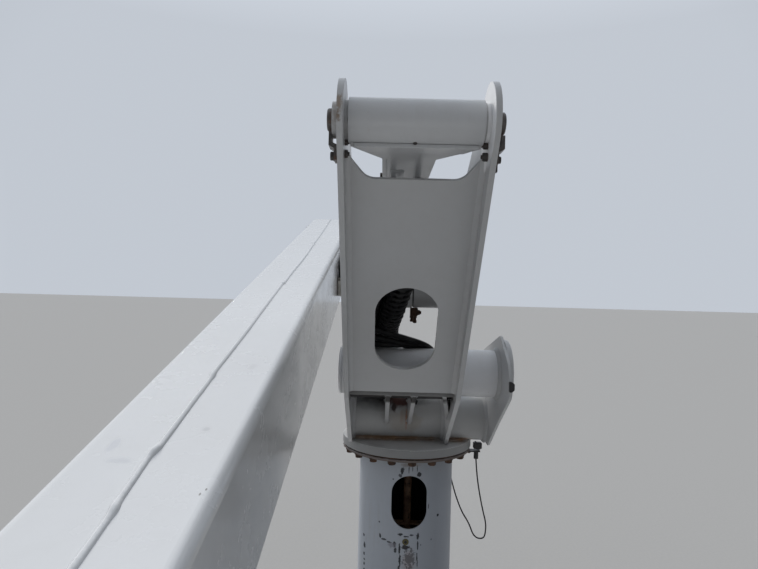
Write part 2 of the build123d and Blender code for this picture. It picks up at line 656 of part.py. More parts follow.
# reinforcing collar round the open rear end, and the wear pads inside it
with BuildPart() as boom_collar:
    with BuildSketch(boom_plane(UB_S1 - 140)):
        RectangleRounded(UB_W + 24, UB_H + 24, UB_BEND + 12)
        RectangleRounded(UB_W, UB_H, UB_BEND, mode=Mode.SUBTRACT)
    extrude(amount=140)
save(boom_collar, "boom_collar")

PAD_X = UB_W / 2 - UB_WALL
PAD_Y = UB_H / 2 - UB_WALL
with BuildPart() as wear_pads:
    for s0 in (UB_S1 - 120, UB_S1 - 1000):
        with BuildSketch(boom_plane(s0)):
            # (centre x, centre y, width, height): bottom, top, right, left
            for cx, cy, w, h in [(0, -(PAD_Y + FLY_H / 2 + 1) / 2, 120, PAD_Y - FLY_H / 2 - 1),
                                 (0, (PAD_Y + FLY_H / 2 + 1) / 2, 120, PAD_Y - FLY_H / 2 - 1),
                                 ((PAD_X + FLY_W / 2 + 1) / 2, 0, PAD_X - FLY_W / 2 - 1, 150),
                                 (-(PAD_X + FLY_W / 2 + 1) / 2, 0, PAD_X - FLY_W / 2 - 1, 150)]:
                with Locations((cx, cy)):
                    Rectangle(w, h)
        extrude(amount=110)
save(wear_pads, "wear_pads")

# ===========================================================================
# Fly boom
# ===========================================================================
with BuildPart() as fly_boom_box:
    with BuildSketch(boom_plane(FLY_S0)):
        RectangleRounded(FLY_W, FLY_H, 15)
        RectangleRounded(FLY_W - 2 * FLY_WALL, FLY_H - 2 * FLY_WALL, 8, mode=Mode.SUBTRACT)
    extrude(amount=FLY_S1 - 60 - FLY_S0)
save(fly_boom_box, "fly_boom_box")

TIP_Y = UB_REF_Y - FLY_S1 * UP_COS
TIP_Z = UB_REF_Z - FLY_S1 * UP_SIN
with BuildPart() as boom_tip_head:
    with BuildSketch(boom_plane(FLY_S1 - 60)):
        RectangleRounded(FLY_W, FLY_H, 15)
    extrude(amount=12)
    # side cheeks that carry the platform's bearing tube
    for x0 in (UB_X - FLY_W / 2, UB_X + FLY_W / 2 - 14):
        with BuildSketch(Plane.YZ.offset(x0)):
            with BuildLine():
                c = (TIP_Y - 40, TIP_Z)
                pa = (TIP_Y + 48 - 140 * UP_SIN, TIP_Z + 12 + 140 * UP_COS)
                pb = (TIP_Y + 48 + 140 * UP_SIN, TIP_Z + 12 - 140 * UP_COS)
                ta = tangent_point(pa, c, 85, -1)
                tb = tangent_point(pb, c, 85, +1)
                Polyline(ta, pa, pb, tb)
                ThreePointArc(tb, (c[0] - 85, c[1]), ta)
            make_face()
        extrude(amount=14)
    with BuildSketch(Plane.YZ.offset(UB_X - FLY_W / 2)):
        with Locations((TIP_Y - 40, TIP_Z)):
            Circle(62)
    extrude(amount=FLY_W)
    with BuildSketch(Plane.YZ.offset(UB_X - FLY_W / 2 - 1)):
        with Locations((TIP_Y - 40, TIP_Z)):
            Circle(38.3)
    extrude(amount=FLY_W + 2, mode=Mode.SUBTRACT)
save(boom_tip_head, "boom_tip_head")

# ===========================================================================
# Platform
# ===========================================================================
SHAFT_Y, SHAFT_Z = TIP_Y - 40, TIP_Z
with BuildPart() as platform_shaft:
    # (X from, X to, radius): left retainer, shaft, shoulder
    for x0, x1, r in [(UB_X - FLY_W / 2 - 19, UB_X - FLY_W / 2 - 5, 55),
                      (UB_X - FLY_W / 2 - 5, UB_X + FLY_W / 2 + 5, 38),
                      (UB_X + FLY_W / 2 + 5, BUCKET_X0 - 20, 55)]:
        with BuildSketch(Plane.YZ.offset(x0)):
            with Locations((SHAFT_Y, SHAFT_Z)):
                Circle(r)
        extrude(amount=x1 - x0)
save(platform_shaft, "platform_shaft")

with BuildPart() as platform_bracket:
    with BuildSketch(Plane.YZ.offset(BUCKET_X0 - 20)):
        with Locations((SHAFT_Y, SHAFT_Z - 40)):
            RectangleRounded(420, 520, 40)
    extrude(amount=20)
save(platform_bracket, "platform_bracket")

BUCKET_XC = BUCKET_X0 + BUCKET_W / 2
with BuildPart() as bucket:
    # straight walls on a closed floor
    with BuildSketch(Plane.XY.offset(BUCKET_Z0)):
        with Locations((BUCKET_XC, SHAFT_Y)):
            RectangleRounded(BUCKET_W, BUCKET_L, 90)
    extrude(amount=BUCKET_H)
    with BuildSketch(Plane.XY.offset(BUCKET_Z0 + BUCKET_WALL)):
        with Locations((BUCKET_XC, SHAFT_Y)):
            RectangleRounded(BUCKET_W - 2 * BUCKET_WALL, BUCKET_L - 2 * BUCKET_WALL, 82)
    extrude(amount=BUCKET_H, mode=Mode.SUBTRACT)
save(bucket, "bucket")

with BuildPart() as bucket_lip:
    with BuildSketch(Plane.XY.offset(BUCKET_Z0 + BUCKET_H)):
        with Locations((BUCKET_XC, SHAFT_Y)):
            RectangleRounded(BUCKET_W + 50, BUCKET_L + 50, 115)
            RectangleRounded(BUCKET_W - 2 * BUCKET_WALL, BUCKET_L - 2 * BUCKET_WALL, 82,
                             mode=Mode.SUBTRACT)
    extrude(amount=22)
save(bucket_lip, "bucket_lip")

with BuildPart() as control_console:
    LIP_Z = BUCKET_Z0 + BUCKET_H + 22
    with BuildSketch(Plane.YZ.offset(BUCKET_X0 - 60)):
        with BuildLine():
            Polyline((SHAFT_Y + 60, LIP_Z), (SHAFT_Y + 330, LIP_Z), (SHAFT_Y + 330, LIP_Z + 90),
                     (SHAFT_Y + 290, LIP_Z + 130), (SHAFT_Y + 60, LIP_Z + 130), close=True)
        make_face()
    extrude(amount=170)
    fillet(control_console.edges().filter_by(Axis.X), radius=10)
save(control_console, "control_console")

with BuildPart() as control_levers:
    for dy in (110.0, 150.0, 190.0, 230.0):
        with BuildSketch(Plane.XY.offset(LIP_Z + 130)):
            with Locations((BUCKET_X0 + 30, SHAFT_Y + dy)):
                Circle(6)
        extrude(amount=60)
        with BuildSketch(Plane.XY.offset(LIP_Z + 190)):
            with Locations((BUCKET_X0 + 30, SHAFT_Y + dy)):
                Circle(12)
        extrude(amount=26)
save(control_levers, "control_levers")

# ===========================================================================
# Cable that hangs beside the column, from the top flange back into the column
# ===========================================================================
CABLE_R = 3.0
GLAND_TOP = (300.0, -60.0, 826.0)              # mouth of the gland, facing down
GLAND_SIDE = (204.0, 100.0, 770.0)             # mouth of the side gland, facing down
with BuildPart() as cable_gland_top:
    # tab under the top flange, and the gland below it
    with BuildSketch(Plane.XY.offset(TOP_FLANGE_Z - 6)):
        with Locations((282, GLAND_TOP[1])):
            Rectangle(66, 32)
    extrude(amount=6)
    with BuildSketch(Plane.XY.offset(GLAND_TOP[2])):
        with Locations((GLAND_TOP[0], GLAND_TOP[1])):
            Circle(10)
    extrude(amount=TOP_FLANGE_Z - 6 - GLAND_TOP[2])
save(cable_gland_top, "cable_gland_top")

with BuildPart() as cable_gland_side:
    with BuildSketch(Plane.XY.offset(GLAND_SIDE[2])):
        with Locations((GLAND_SIDE[0], GLAND_SIDE[1])):
            Circle(11)
    extrude(amount=36)
    with BuildSketch(Plane.YZ.offset(160)):
        with Locations((GLAND_SIDE[1], GLAND_SIDE[2] + 20)):
            Circle(9)
    extrude(amount=GLAND_SIDE[0] - 160)
    with BuildSketch(Plane.XY.offset(700)):
        Circle(COLUMN_R)
    extrude(amount=120, mode=Mode.SUBTRACT)
save(cable_gland_side, "cable_gland_side")

CABLE_ROUTE = [(300, -60, 826), (304, -60, 770), (317, -59, 685), (337, -57, 595),
               (350, -54, 545), (351, -51, 505), (339, -47, 470), (302, -41, 474),
               (280, -32, 530), (252, -16, 574), (228, 10, 632), (216, 46, 674),
               (206, 84, 714), (204, 100, 770)]
with BuildPart() as hanging_cable:
    with BuildLine() as cable_line:
        pts = [Vector(*p) for p in CABLE_ROUTE]
        radii = []
        for p0, p1, p2 in zip(pts, pts[1:], pts[2:]):
            a, b = p1 - p0, p2 - p1
            turn = math.radians(a.get_angle(b))
            radii.append(0.48 * min(a.length, b.length) / math.tan(turn / 2))
        FilletPolyline(*CABLE_ROUTE, radius=radii)
    with BuildSketch(Plane(origin=pts[0], z_dir=pts[1] - pts[0])):
        Circle(CABLE_R)
    sweep(path=cable_line.line)
cable_length = sum(e.length for e in cable_line.edges())
print("cable bend radii", [round(r) for r in radii], "length", round(cable_length, 1))
print("cable volume ratio",
      round(hanging_cable.part.volume / (math.pi * CABLE_R ** 2 * cable_length), 4))
save(hanging_cable, "hanging_cable")

print("platform shaft", round(SHAFT_Y, 4), round(SHAFT_Z, 4), "cylinder", round(cyl_len, 3))
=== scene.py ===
import json
import math
import random

import bmesh
import bpy
from mathutils import Matrix, Vector


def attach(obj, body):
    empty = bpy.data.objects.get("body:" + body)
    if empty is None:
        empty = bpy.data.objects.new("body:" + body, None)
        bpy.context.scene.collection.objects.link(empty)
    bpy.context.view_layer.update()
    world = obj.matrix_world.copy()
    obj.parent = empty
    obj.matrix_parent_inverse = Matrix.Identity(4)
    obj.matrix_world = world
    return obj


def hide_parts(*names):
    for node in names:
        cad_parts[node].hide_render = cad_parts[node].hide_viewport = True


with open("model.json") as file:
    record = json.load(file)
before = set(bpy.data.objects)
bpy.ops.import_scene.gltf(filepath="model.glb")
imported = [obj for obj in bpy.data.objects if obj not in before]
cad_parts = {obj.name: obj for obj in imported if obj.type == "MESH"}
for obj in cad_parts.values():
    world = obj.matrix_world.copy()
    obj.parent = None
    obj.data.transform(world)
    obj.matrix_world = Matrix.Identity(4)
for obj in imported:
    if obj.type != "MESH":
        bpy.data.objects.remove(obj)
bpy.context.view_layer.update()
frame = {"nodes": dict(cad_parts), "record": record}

NODES = frame["nodes"]
MM = 0.001
scene = bpy.context.scene

# ---------------------------------------------------------------------------
# Camera, at the photograph's viewing point
# ---------------------------------------------------------------------------
cam_data = bpy.data.cameras.new("camera")
cam_data.sensor_fit = "HORIZONTAL"
cam_data.sensor_width = 36.0
cam_data.lens = 570.0 / 758.0 * 36.0
cam_data.clip_start = 0.05
cam_data.clip_end = 300.0
cam = bpy.data.objects.new("camera", cam_data)
scene.collection.objects.link(cam)
cam.matrix_world = (Matrix.Translation((-0.122, -2.540, 1.5495))
                    @ Matrix.Rotation(math.radians(0.41), 4, "Z")
                    @ Matrix.Rotation(math.radians(90.44), 4, "X")
                    @ Matrix.Rotation(math.radians(1.5), 4, "Z"))
scene.camera = cam


# ---------------------------------------------------------------------------
# Node materials
# ---------------------------------------------------------------------------
class Mat:
    """Builds one node material; lengths in the nodes are metres."""

    def __init__(self, name, rough=0.5, metal=0.0, coat=0.0, coat_rough=0.1, spec=0.5):
        self.m = bpy.data.materials.new(name)
        self.m.use_nodes = True
        self.nt = self.m.node_tree
        self.nt.nodes.clear()
        out = self.node("ShaderNodeOutputMaterial")
        self.b = self.node("ShaderNodeBsdfPrincipled")
        self.nt.links.new(self.b.outputs["BSDF"], out.inputs["Surface"])
        self.b.inputs["Roughness"].default_value = rough
        self.b.inputs["Metallic"].default_value = metal
        self.b.inputs["Coat Weight"].default_value = coat
        self.b.inputs["Coat Roughness"].default_value = coat_rough
        self.b.inputs["Specular IOR Level"].default_value = spec
        self.pos = self.node("ShaderNodeTexCoord").outputs["Object"]
        self.nrm = self.node("ShaderNodeNewGeometry").outputs["Normal"]

    def node(self, kind, **props):
        n = self.nt.nodes.new(kind)
        for k, v in props.items():
            setattr(n, k, v)
        return n

    def feed(self, sock, v):
        if isinstance(v, bpy.types.NodeSocket):
            self.nt.links.new(v, sock)
        elif isinstance(v, tuple) and len(v) == 3 and len(sock.default_value) == 4:
            sock.default_value = (*v, 1.0)
        else:
            sock.default_value = v

    def calc(self, op, a, b=0.0, clamp=False):
        n = self.node("ShaderNodeMath", operation=op, use_clamp=clamp)
        self.feed(n.inputs[0], a)
        self.feed(n.inputs[1], b)
        return n.outputs[0]

    def mul(self, *vs):
        out = vs[0]
        for v in vs[1:]:
            out = self.calc("MULTIPLY", out, v)
        return out

    def most(self, *vs):
        out = vs[0]
        for v in vs[1:]:
            out = self.calc("MAXIMUM", out, v)
        return out

    def stretch(self, sx, sy, sz, vec=None):
        n = self.node("ShaderNodeMapping", vector_type="POINT")
        self.feed(n.inputs["Vector"], vec or self.pos)
        n.inputs["Scale"].default_value = (sx, sy, sz)
        return n.outputs[0]

    def noise(self, scale, detail=3.0, rough=0.55, vec=None, warp=0.0):
        n = self.node("ShaderNodeTexNoise")
        self.feed(n.inputs["Vector"], vec or self.pos)
        n.inputs["Scale"].default_value = scale
        n.inputs["Detail"].default_value = detail
        n.inputs["Roughness"].default_value = rough
        n.inputs["Distortion"].default_value = warp
        return n.outputs["Fac"]

    def cells(self, scale, vec=None, feature="F1"):
        n = self.node("ShaderNodeTexVoronoi", feature=feature)
        self.feed(n.inputs["Vector"], vec or self.pos)
        n.inputs["Scale"].default_value = scale
        return n.outputs["Distance"]

    def span(self, v, a, b, c=0.0, d=1.0):
        n = self.node("ShaderNodeMapRange", clamp=True)
        self.feed(n.inputs["Value"], v)
        n.inputs["From Min"].default_value = a
        n.inputs["From Max"].default_value = b
        n.inputs["To Min"].default_value = c
        n.inputs["To Max"].default_value = d
        return n.outputs["Result"]

    def mix(self, fac, a, b):
        n = self.node("ShaderNodeMix", data_type="RGBA")
        self.feed(n.inputs[0], fac)
        self.feed(n.inputs[6], a)
        self.feed(n.inputs[7], b)
        return n.outputs[2]

    def part(self, vec, axis):
        n = self.node("ShaderNodeSeparateXYZ")
        self.feed(n.inputs[0], vec)
        return n.outputs[axis]

    def blob(self, centre, radii, edge=0.45, wobble=0.7, scale=22.0, detail=5.0):
        """Mask, 1 inside a ragged ellipsoid; centre and radii in mm."""
        s = self.node("ShaderNodeVectorMath", operation="SUBTRACT")
        self.feed(s.inputs[0], self.pos)
        s.inputs[1].default_value = tuple(c * MM for c in centre)
        d = self.node("ShaderNodeVectorMath", operation="DIVIDE")
        self.feed(d.inputs[0], s.outputs[0])
        d.inputs[1].default_value = tuple(r * MM for r in radii)
        ln = self.node("ShaderNodeVectorMath", operation="LENGTH")
        self.feed(ln.inputs[0], d.outputs[0])
        n = self.calc("SUBTRACT", self.noise(scale, detail, 0.65), 0.5)
        v = self.calc("ADD", ln.outputs["Value"], self.calc("MULTIPLY", n, wobble * 2.2))
        return self.span(v, 1.0, 1.0 - edge)

    def corner(self, distance, lo, hi):
        """Mask, 1 deep in inside corners."""
        n = self.node("ShaderNodeAmbientOcclusion", samples=4)
        n.inputs["Distance"].default_value = distance
        return self.span(n.outputs["AO"], hi, lo)

    def soft_normal(self, radius=0.0016):
        n = self.node("ShaderNodeBevel", samples=4)
        n.inputs["Radius"].default_value = radius
        return n.outputs[0]

    def edge(self, radius, lo, hi):
        """Mask, 1 along outside and inside edges."""
        bev = self.node("ShaderNodeBevel", samples=4)
        bev.inputs["Radius"].default_value = radius
        dot = self.node("ShaderNodeVectorMath", operation="DOT_PRODUCT")
        self.feed(dot.inputs[0], bev.outputs[0])
        self.feed(dot.inputs[1], self.nrm)
        return self.span(dot.outputs["Value"], 1.0 - lo, 1.0 - hi)

    def bump(self, height, strength, distance, normal=None):
        n = self.node("ShaderNodeBump")
        n.inputs["Strength"].default_value = strength
        n.inputs["Distance"].default_value = distance
        self.feed(n.inputs["Height"], height)
        if normal is not None:
            self.feed(n.inputs["Normal"], normal)
        return n.outputs[0]

    def done(self, color=None, rough=None, normal=None, metal=None):
        for key, v in (("Base Color", color), ("Roughness", rough), ("Normal", normal), ("Metallic", metal)):
            if v is not None:
                self.feed(self.b.inputs[key], v)
        return self.m


RUST = (0.150, 0.055, 0.020)
RUST_DARK = (0.050, 0.026, 0.015)
RUST_BRIGHT = (0.36, 0.13, 0.035)


def paint(name, base=(0.79, 0.80, 0.81), gloss=0.30, streak=0.35, specks=0.5, corner=0.65,
          chips=0.5, coat=0.25, wave=0.0, spots=(), rounding=0.0016, dust=0.35, mottle=1.0, shade=0.0, peel=0.35, sides=0.0, right_side_shade=0.0):
    """Weathered white enamel on steel, with painted shade on chosen faces and painted light and shade in some spots.
    spots: (centre, radii, colour, strength, scale[, edge, wobble]).
    """
    g = Mat(name, coat=coat, coat_rough=0.12)
    dull = tuple(c * (1 - (1 - k) * mottle) for c, k in zip(base, (0.90, 0.89, 0.865)))
    dark = tuple(c * (1 - (1 - k) * mottle) for c, k in zip(base, (0.72, 0.70, 0.66)))
    col = g.mix(g.span(g.noise(2.3, 4, 0.6), 0.34, 0.68), base, dull)
    col = g.mix(g.mul(g.span(g.noise(31, 5, 0.65), 0.50, 0.80), 0.30), col, dark)
    # painted shade: faces that are not level are darkened towards a dark copy of the base
    if shade:
        up = g.calc("ABSOLUTE", g.part(g.nrm, 2))
        col = g.mix(g.mul(g.span(up, 0.80, 0.30), shade), col, tuple(c * 0.36 for c in base))
    if sides:                                      # painted shade: upright sides darker than the top, as they get less light
        side = g.span(g.calc("ABSOLUTE", g.part(g.nrm, 0)), 0.45, 0.90, 0.0, sides)
        col = g.mix(side, col, tuple(c * k for c, k in zip(base, (0.40, 0.395, 0.39))))
    if right_side_shade:                                        # painted shade: darker on the side that faces +X, where less light falls
        side = g.span(g.part(g.nrm, 0), 0.0, 0.60, 0.0, right_side_shade)
        col = g.mix(side, col, tuple(c * k for c, k in zip(base, (0.54, 0.545, 0.56))))
    # rain streaks, long in z and thin across
    st = g.noise(1.0, 6, 0.62, vec=g.stretch(62, 62, 2.6))
    st = g.mul(g.span(st, 0.56, 0.76), g.span(g.noise(3.4, 2, 0.5), 0.40, 0.66), streak)
    col = g.mix(st, col, (0.34, 0.30, 0.25))
    # dust lying on what faces up
    up = g.span(g.part(g.nrm, 2), 0.45, 0.95)
    du = g.mul(up, g.span(g.noise(13, 6, 0.7), 0.36, 0.72), dust)
    col = g.mix(du, col, (0.47, 0.43, 0.37))
    # grime in corners and along welds, darker where the AO node finds nearby surfaces: dirt and painted shade
    cr = g.mul(g.corner(0.045, 0.30, 0.80), g.span(g.noise(34, 5, 0.7), 0.30, 0.62), corner)
    col = g.mix(cr, col, (0.13, 0.095, 0.07))
    # rust pinholes with a thin halo
    field = g.span(g.noise(4.2, 3, 0.5), 0.50, 0.66)
    dot = g.cells(34, vec=g.stretch(1, 1, 0.8))
    pin = g.mul(g.span(dot, 0.105, 0.055), field, specks)
    halo = g.mul(g.span(dot, 0.24, 0.05), field, specks * 0.35)
    col = g.mix(halo, col, (0.50, 0.33, 0.20))
    col = g.mix(pin, col, RUST)
    # paint chipped off along edges
    ed = g.mul(g.edge(0.0045, 0.03, 0.16), g.span(g.noise(52, 6, 0.72), 0.56, 0.62), chips)
    col = g.mix(ed, col, RUST_DARK)
    bare = g.most(pin, ed, g.mul(cr, 0.6))
    for centre, radii, colour, strength, sc, *more in spots:
        edge, wobble = more or (0.45, 0.7)
        m = g.mul(g.blob(centre, radii, edge, wobble, sc), strength)
        col = g.mix(m, col, colour)
        bare = g.most(bare, m)
    rough = g.span(g.noise(7.5, 5, 0.6), 0.30, 0.72, gloss, gloss + 0.16)
    rough = g.calc("ADD", rough, g.mul(g.most(bare, du), 0.40), clamp=True)
    h = g.calc("ADD", g.mul(g.noise(240, 2, 0.5), 0.10), g.mul(bare, g.noise(420, 4, 0.7), 0.9))
    nrm = g.bump(h, peel, 0.0007, g.soft_normal(rounding))
    if wave:
        nrm = g.bump(g.noise(2.2, 2, 0.45, vec=g.stretch(1.6, 0.7, 1.2)), 0.6, wave, nrm)
    return g.done(col, rough, nrm)


TURRET_SPOTS = [
    # painted shadow under the shelf
    ((-44, -412, 1149), (252, 132, 25), (0.020, 0.017, 0.014), 0.93, 16, 0.35, 0.2),
    # painted light: the right ear's inner face and rim lit
    ((143, -1033, 1993.5), (8, 130, 130), (0.86, 0.865, 0.875), 0.92, 20, 0.12, 0.05),
    ((-243, -1139, 2008), (9, 16, 40), (0.30, 0.225, 0.165), 0.8, 120, 0.7, 1.5),
    ((-245, -1139, 1972), (6, 16, 24), (0.22, 0.16, 0.12), 0.8, 140, 0.7, 1.5),
    ((-256, -1075, 1995), (12, 30, 44), (0.30, 0.25, 0.21), 0.6, 90, 0.8, 1.3),
    ((-172, -930, 1839), (7, 9, 8), RUST_DARK, 0.8, 90), ((-52, -800, 1686), (5, 7, 7), RUST_DARK, 0.8, 90),
    ((41, -760, 1638), (6, 8, 7), RUST_DARK, 0.8, 90), ((118, -700, 1480), (4, 7, 12), RUST, 0.4, 90),
]
# the first spot is a painted shadow on the lower tube under the shelf
DISC_SPOTS = [((-110, -98, 1101), (240, 120, 75), (0.020, 0.016, 0.013), 0.95, 16, 0.65, 0.2),
              ((-60, -122, 922), (280, 26, 15), (0.40, 0.235, 0.12), 0.85, 16, 0.7, 0.5),
              ((-20, -112, 915), (250, 12, 6), (0.14, 0.075, 0.035), 0.6, 30, 0.5, 0.8),
              ((205, -122, 922), (80, 26, 15), (0.34, 0.19, 0.10), 0.85, 22, 0.7, 0.5),
              ((-40, -118, 1080), (54, 60, 36), (0.085, 0.024, 0.016), 0.95, 26, 0.45, 0.5),
              ((-64, -135, 1052), (13, 30, 30), (0.040, 0.018, 0.012), 0.9, 50, 0.3, 0.7),
              ((-11, -160, 1010), (6, 32, 60), (0.42, 0.13, 0.04), 0.75, 60, 0.6, 0.6),
              ((-30, -160, 1020), (10, 30, 40), (0.30, 0.12, 0.06), 0.35, 50, 0.6, 0.6),
              # painted shade in a small hole
              ((30, -125, 1076), (7, 20, 12), (0.004, 0.004, 0.004), 1.0, 60, 0.15, 0.9),
              ((-20, -160, 1000), (90, 30, 60), (0.34, 0.28, 0.22), 0.4, 20)]
# the turret's white paint with its base darkened: painted shade
white_turret = paint("white_turret", base=(0.53, 0.537, 0.547), gloss=0.30, streak=0.12, specks=0.15, corner=0.32,
                     spots=TURRET_SPOTS, mottle=0.5, chips=0.35)
# the shelf's white paint darkened as painted shade, with a near-black painted shadow on its underside
shelf_painted_shade = paint("shelf_painted_shade", base=(0.30, 0.298, 0.295), gloss=0.38, streak=0.1, specks=0.1, corner=0.2,
                    chips=0.3, coat=0.1, dust=0.1, mottle=0.7,
                    spots=[((-44, -400, 1130), (900, 300, 42), (0.012, 0.010, 0.009), 0.97, 16, 0.35, 0.1)])
# base darkened: painted shade on the lower tube and its welds
white_tube = paint("white_tube", base=(0.50, 0.505, 0.51), gloss=0.38, streak=0.18, corner=0.35,
                   specks=0.15, chips=0.4, spots=DISC_SPOTS, coat=0.1, dust=0.1, mottle=0.7)
# base raised for the shaded top face: painted light; upright rim darkened: painted shade
white_disc = paint("white_disc", base=(0.72, 0.725, 0.73), gloss=0.38, streak=0.22, corner=0.30,
                   specks=0.15, chips=0.6, spots=DISC_SPOTS, coat=0.1, dust=0.1, mottle=0.7, shade=0.92)
white_upper = paint("white_upper", base=(0.80, 0.81, 0.835), gloss=0.30, streak=0.08, specks=0.1, corner=0.25,
                    mottle=0.5, chips=0.3)
BOOM_SPOTS = [((-614, -1484, 1248), (10, 52, 14), (0.66, 0.67, 0.71), 0.55, 30, 0.5, 0.8),
              ((-573, -1536, 1235), (30, 12, 8), (0.66, 0.67, 0.70), 0.5, 36, 0.5, 0.8),
              ((-407, -1625, 1213), (2, 4, 4), (0.16, 0.14, 0.12), 0.75, 80, 0.3, 0.5),
              ((-401, -1612, 1216), (2, 4, 5), (0.14, 0.12, 0.10), 0.7, 80, 0.3, 0.5),
              ((-462, -1416, 1264), (9, 14, 6), (0.55, 0.55, 0.56), 0.5, 60, 0.5, 0.8),
              ((-448, -1100, 1344), (14, 40, 8), (0.62, 0.62, 0.63), 0.4, 30, 0.6, 0.9)]
# its upright sides darkened: painted shade
white_boom = paint("white_boom", base=(0.80, 0.81, 0.82), gloss=0.17, streak=0.04, specks=0.0, corner=0.4,
                   chips=0.0, coat=0.5, wave=0.0010, dust=0.03, rounding=0.002, mottle=0.25, spots=BOOM_SPOTS, peel=0.12, sides=0.45)
white_lower = paint("white_lower", base=(0.60, 0.61, 0.625), gloss=0.28, streak=0.08, specks=0.1, corner=0.15,
                    mottle=0.5, chips=0.35)
fly_paint = paint("fly_paint", base=(0.77, 0.78, 0.78), gloss=0.30, streak=0.2, specks=0.35, coat=0.3,
                  spots=[])
BLACK, SOOT = (0.006, 0.006, 0.009), (0.020, 0.019, 0.026)
PED_SPOTS = [
    # inside of the column near-black: painted shade; and dirt round the flange
    ((0, 0, 640), (198.6, 198.6, 3000), (0.010, 0.010, 0.011), 1.0, 10, 0.01, 0.0),
    ((0, 0, 866), (900, 900, 11), (0.13, 0.085, 0.06), 0.8, 26, 0.5, 0.7),
    # scuffs above the window
    ((-23, -202, 809), (8, 30, 17), BLACK, 0.9, 70, 0.22, 1.0), ((-31, -201, 788), (9, 30, 8), SOOT, 0.8, 80, 0.3, 1.1),
    ((47, -197, 793), (9, 30, 12), BLACK, 0.9, 70, 0.22, 1.0), ((4, -203, 812), (2.5, 30, 20), SOOT, 0.8, 90, 0.3, 0.9),
    ((19, -202, 816), (2.5, 30, 16), SOOT, 0.7, 90, 0.3, 0.9), ((38, -199, 818), (3, 30, 16), SOOT, 0.8, 90, 0.3, 0.9),
    ((8, -203, 832), (46, 30, 9), (0.24, 0.20, 0.17), 0.55, 50, 0.5, 0.9),
    # single marks
    ((-59, -194, 771), (4, 20, 3), SOOT, 0.8, 90, 0.3, 0.8), ((89, -182, 661), (2.5, 20, 12), BLACK, 0.8, 90, 0.3, 0.8),
    ((131, -155, 614), (5.5, 20, 6.5), BLACK, 0.95, 90, 0.25, 0.4), ((-112, -169, 585), (4, 20, 4), SOOT, 0.8, 90, 0.3, 0.6),
    ((104, -174, 520), (4, 20, 4), SOOT, 0.6, 90, 0.3, 0.8), ((60, -194, 505), (3, 20, 3), SOOT, 0.7, 90, 0.3, 0.8),
    # the diagonal scrape
    ((-107, -173, 529), (4, 20, 10), BLACK, 0.9, 80, 0.25, 0.8), ((-92, -181, 518), (12, 20, 4.5), SOOT, 0.85, 70, 0.3, 0.9),
    ((-70, -191, 511), (14, 20, 5), SOOT, 0.8, 70, 0.3, 1.0), ((-48, -197, 506), (7, 20, 13), BLACK, 0.85, 70, 0.25, 1.0),
    ((-44, -198, 482), (7, 20, 10), BLACK, 0.85, 70, 0.25, 1.0), ((-57, -195, 500), (22, 20, 14), (0.22, 0.21, 0.25), 0.6, 60, 0.5, 0.9),
    # below the window
    ((-24, -202, 548), (11, 30, 7), BLACK, 0.9, 70, 0.22, 1.1), ((-1, -203, 541), (12, 30, 4), SOOT, 0.9, 80, 0.25, 1.1),
    ((21, -202, 546), (11, 30, 4), SOOT, 0.85, 80, 0.25, 1.1), ((47, -198, 540), (6, 30, 14), BLACK, 0.9, 70, 0.22, 1.0),
    ((-2, -203, 497), (20, 20, 9), (0.018, 0.014, 0.012), 0.92, 70, 0.25, 0.8),
    ((-27, -201, 484), (4.5, 20, 26), BLACK, 0.9, 60, 0.25, 1.0), ((-25, -201, 440), (4.5, 20, 28), BLACK, 0.9, 60, 0.25, 1.1),
    ((-28, -201, 402), (5, 20, 24), BLACK, 0.85, 60, 0.25, 1.1),
    ((47, -197, 505), (3.5, 20, 24), BLACK, 0.85, 60, 0.25, 1.1), ((45, -198, 462), (3.5, 20, 20), BLACK, 0.85, 60, 0.25, 1.1),
    ((47, -197, 425), (3, 20, 18), SOOT, 0.8, 60, 0.25, 1.1),
    ((10, -203, 440), (34, 20, 56), (0.36, 0.31, 0.31), 0.55, 34, 0.6, 0.9),
    ((14, -203, 452), (24, 20, 40), SOOT, 0.6, 110, 0.2, 1.9),
    # dotted line near the left edge
    ((-176, -102, 499), (20, 7, 9), BLACK, 0.85, 80, 0.25, 0.9), ((-172, -108, 461), (20, 8, 13), BLACK, 0.9, 80, 0.25, 0.9),
    ((-173, -106, 423), (20, 6, 8), BLACK, 0.85, 80, 0.25, 0.9), ((-172, -108, 400), (20, 6, 6), BLACK, 0.85, 80, 0.25, 0.9),
    ((-172, -108, 381), (20, 6, 8), BLACK, 0.85, 80, 0.25, 0.9), ((-171, -109, 352), (20, 7, 12), BLACK, 0.85, 80, 0.25, 0.9),
    ((0, 0, 20), (330, 330, 60), (0.24, 0.19, 0.14), 0.55, 12),
]
# base blue-grey and darker than the white paint: painted shade; the +X side darkened further, also painted shade
pedestal_paint = paint("pedestal_paint", base=(0.44, 0.475, 0.53), gloss=0.42, streak=0.30, specks=0.3,
                       corner=0.5, chips=0.8, coat=0.08, spots=PED_SPOTS, dust=0.5, mottle=0.6, right_side_shade=0.7)


def rusted(name, base=RUST_DARK, light=(0.23, 0.10, 0.045), rough=0.82):
    g = Mat(name)
    col = g.mix(g.span(g.noise(26, 6, 0.7), 0.36, 0.66), base, light)
    col = g.mix(g.span(g.noise(90, 4, 0.7), 0.56, 0.68), col, (0.030, 0.018, 0.012))
    col = g.mix(g.mul(g.span(g.noise(210, 3, 0.6), 0.62, 0.74), 0.6), col, RUST_BRIGHT)
    h = g.calc("ADD", g.noise(150, 5, 0.75), g.mul(g.noise(40, 3, 0.6), 0.8))
    return g.done(col, g.span(g.noise(60, 4, 0.6), 0.3, 0.7, rough - 0.14, rough + 0.1),
                  g.bump(h, 0.7, 0.0012, g.soft_normal(0.001)))


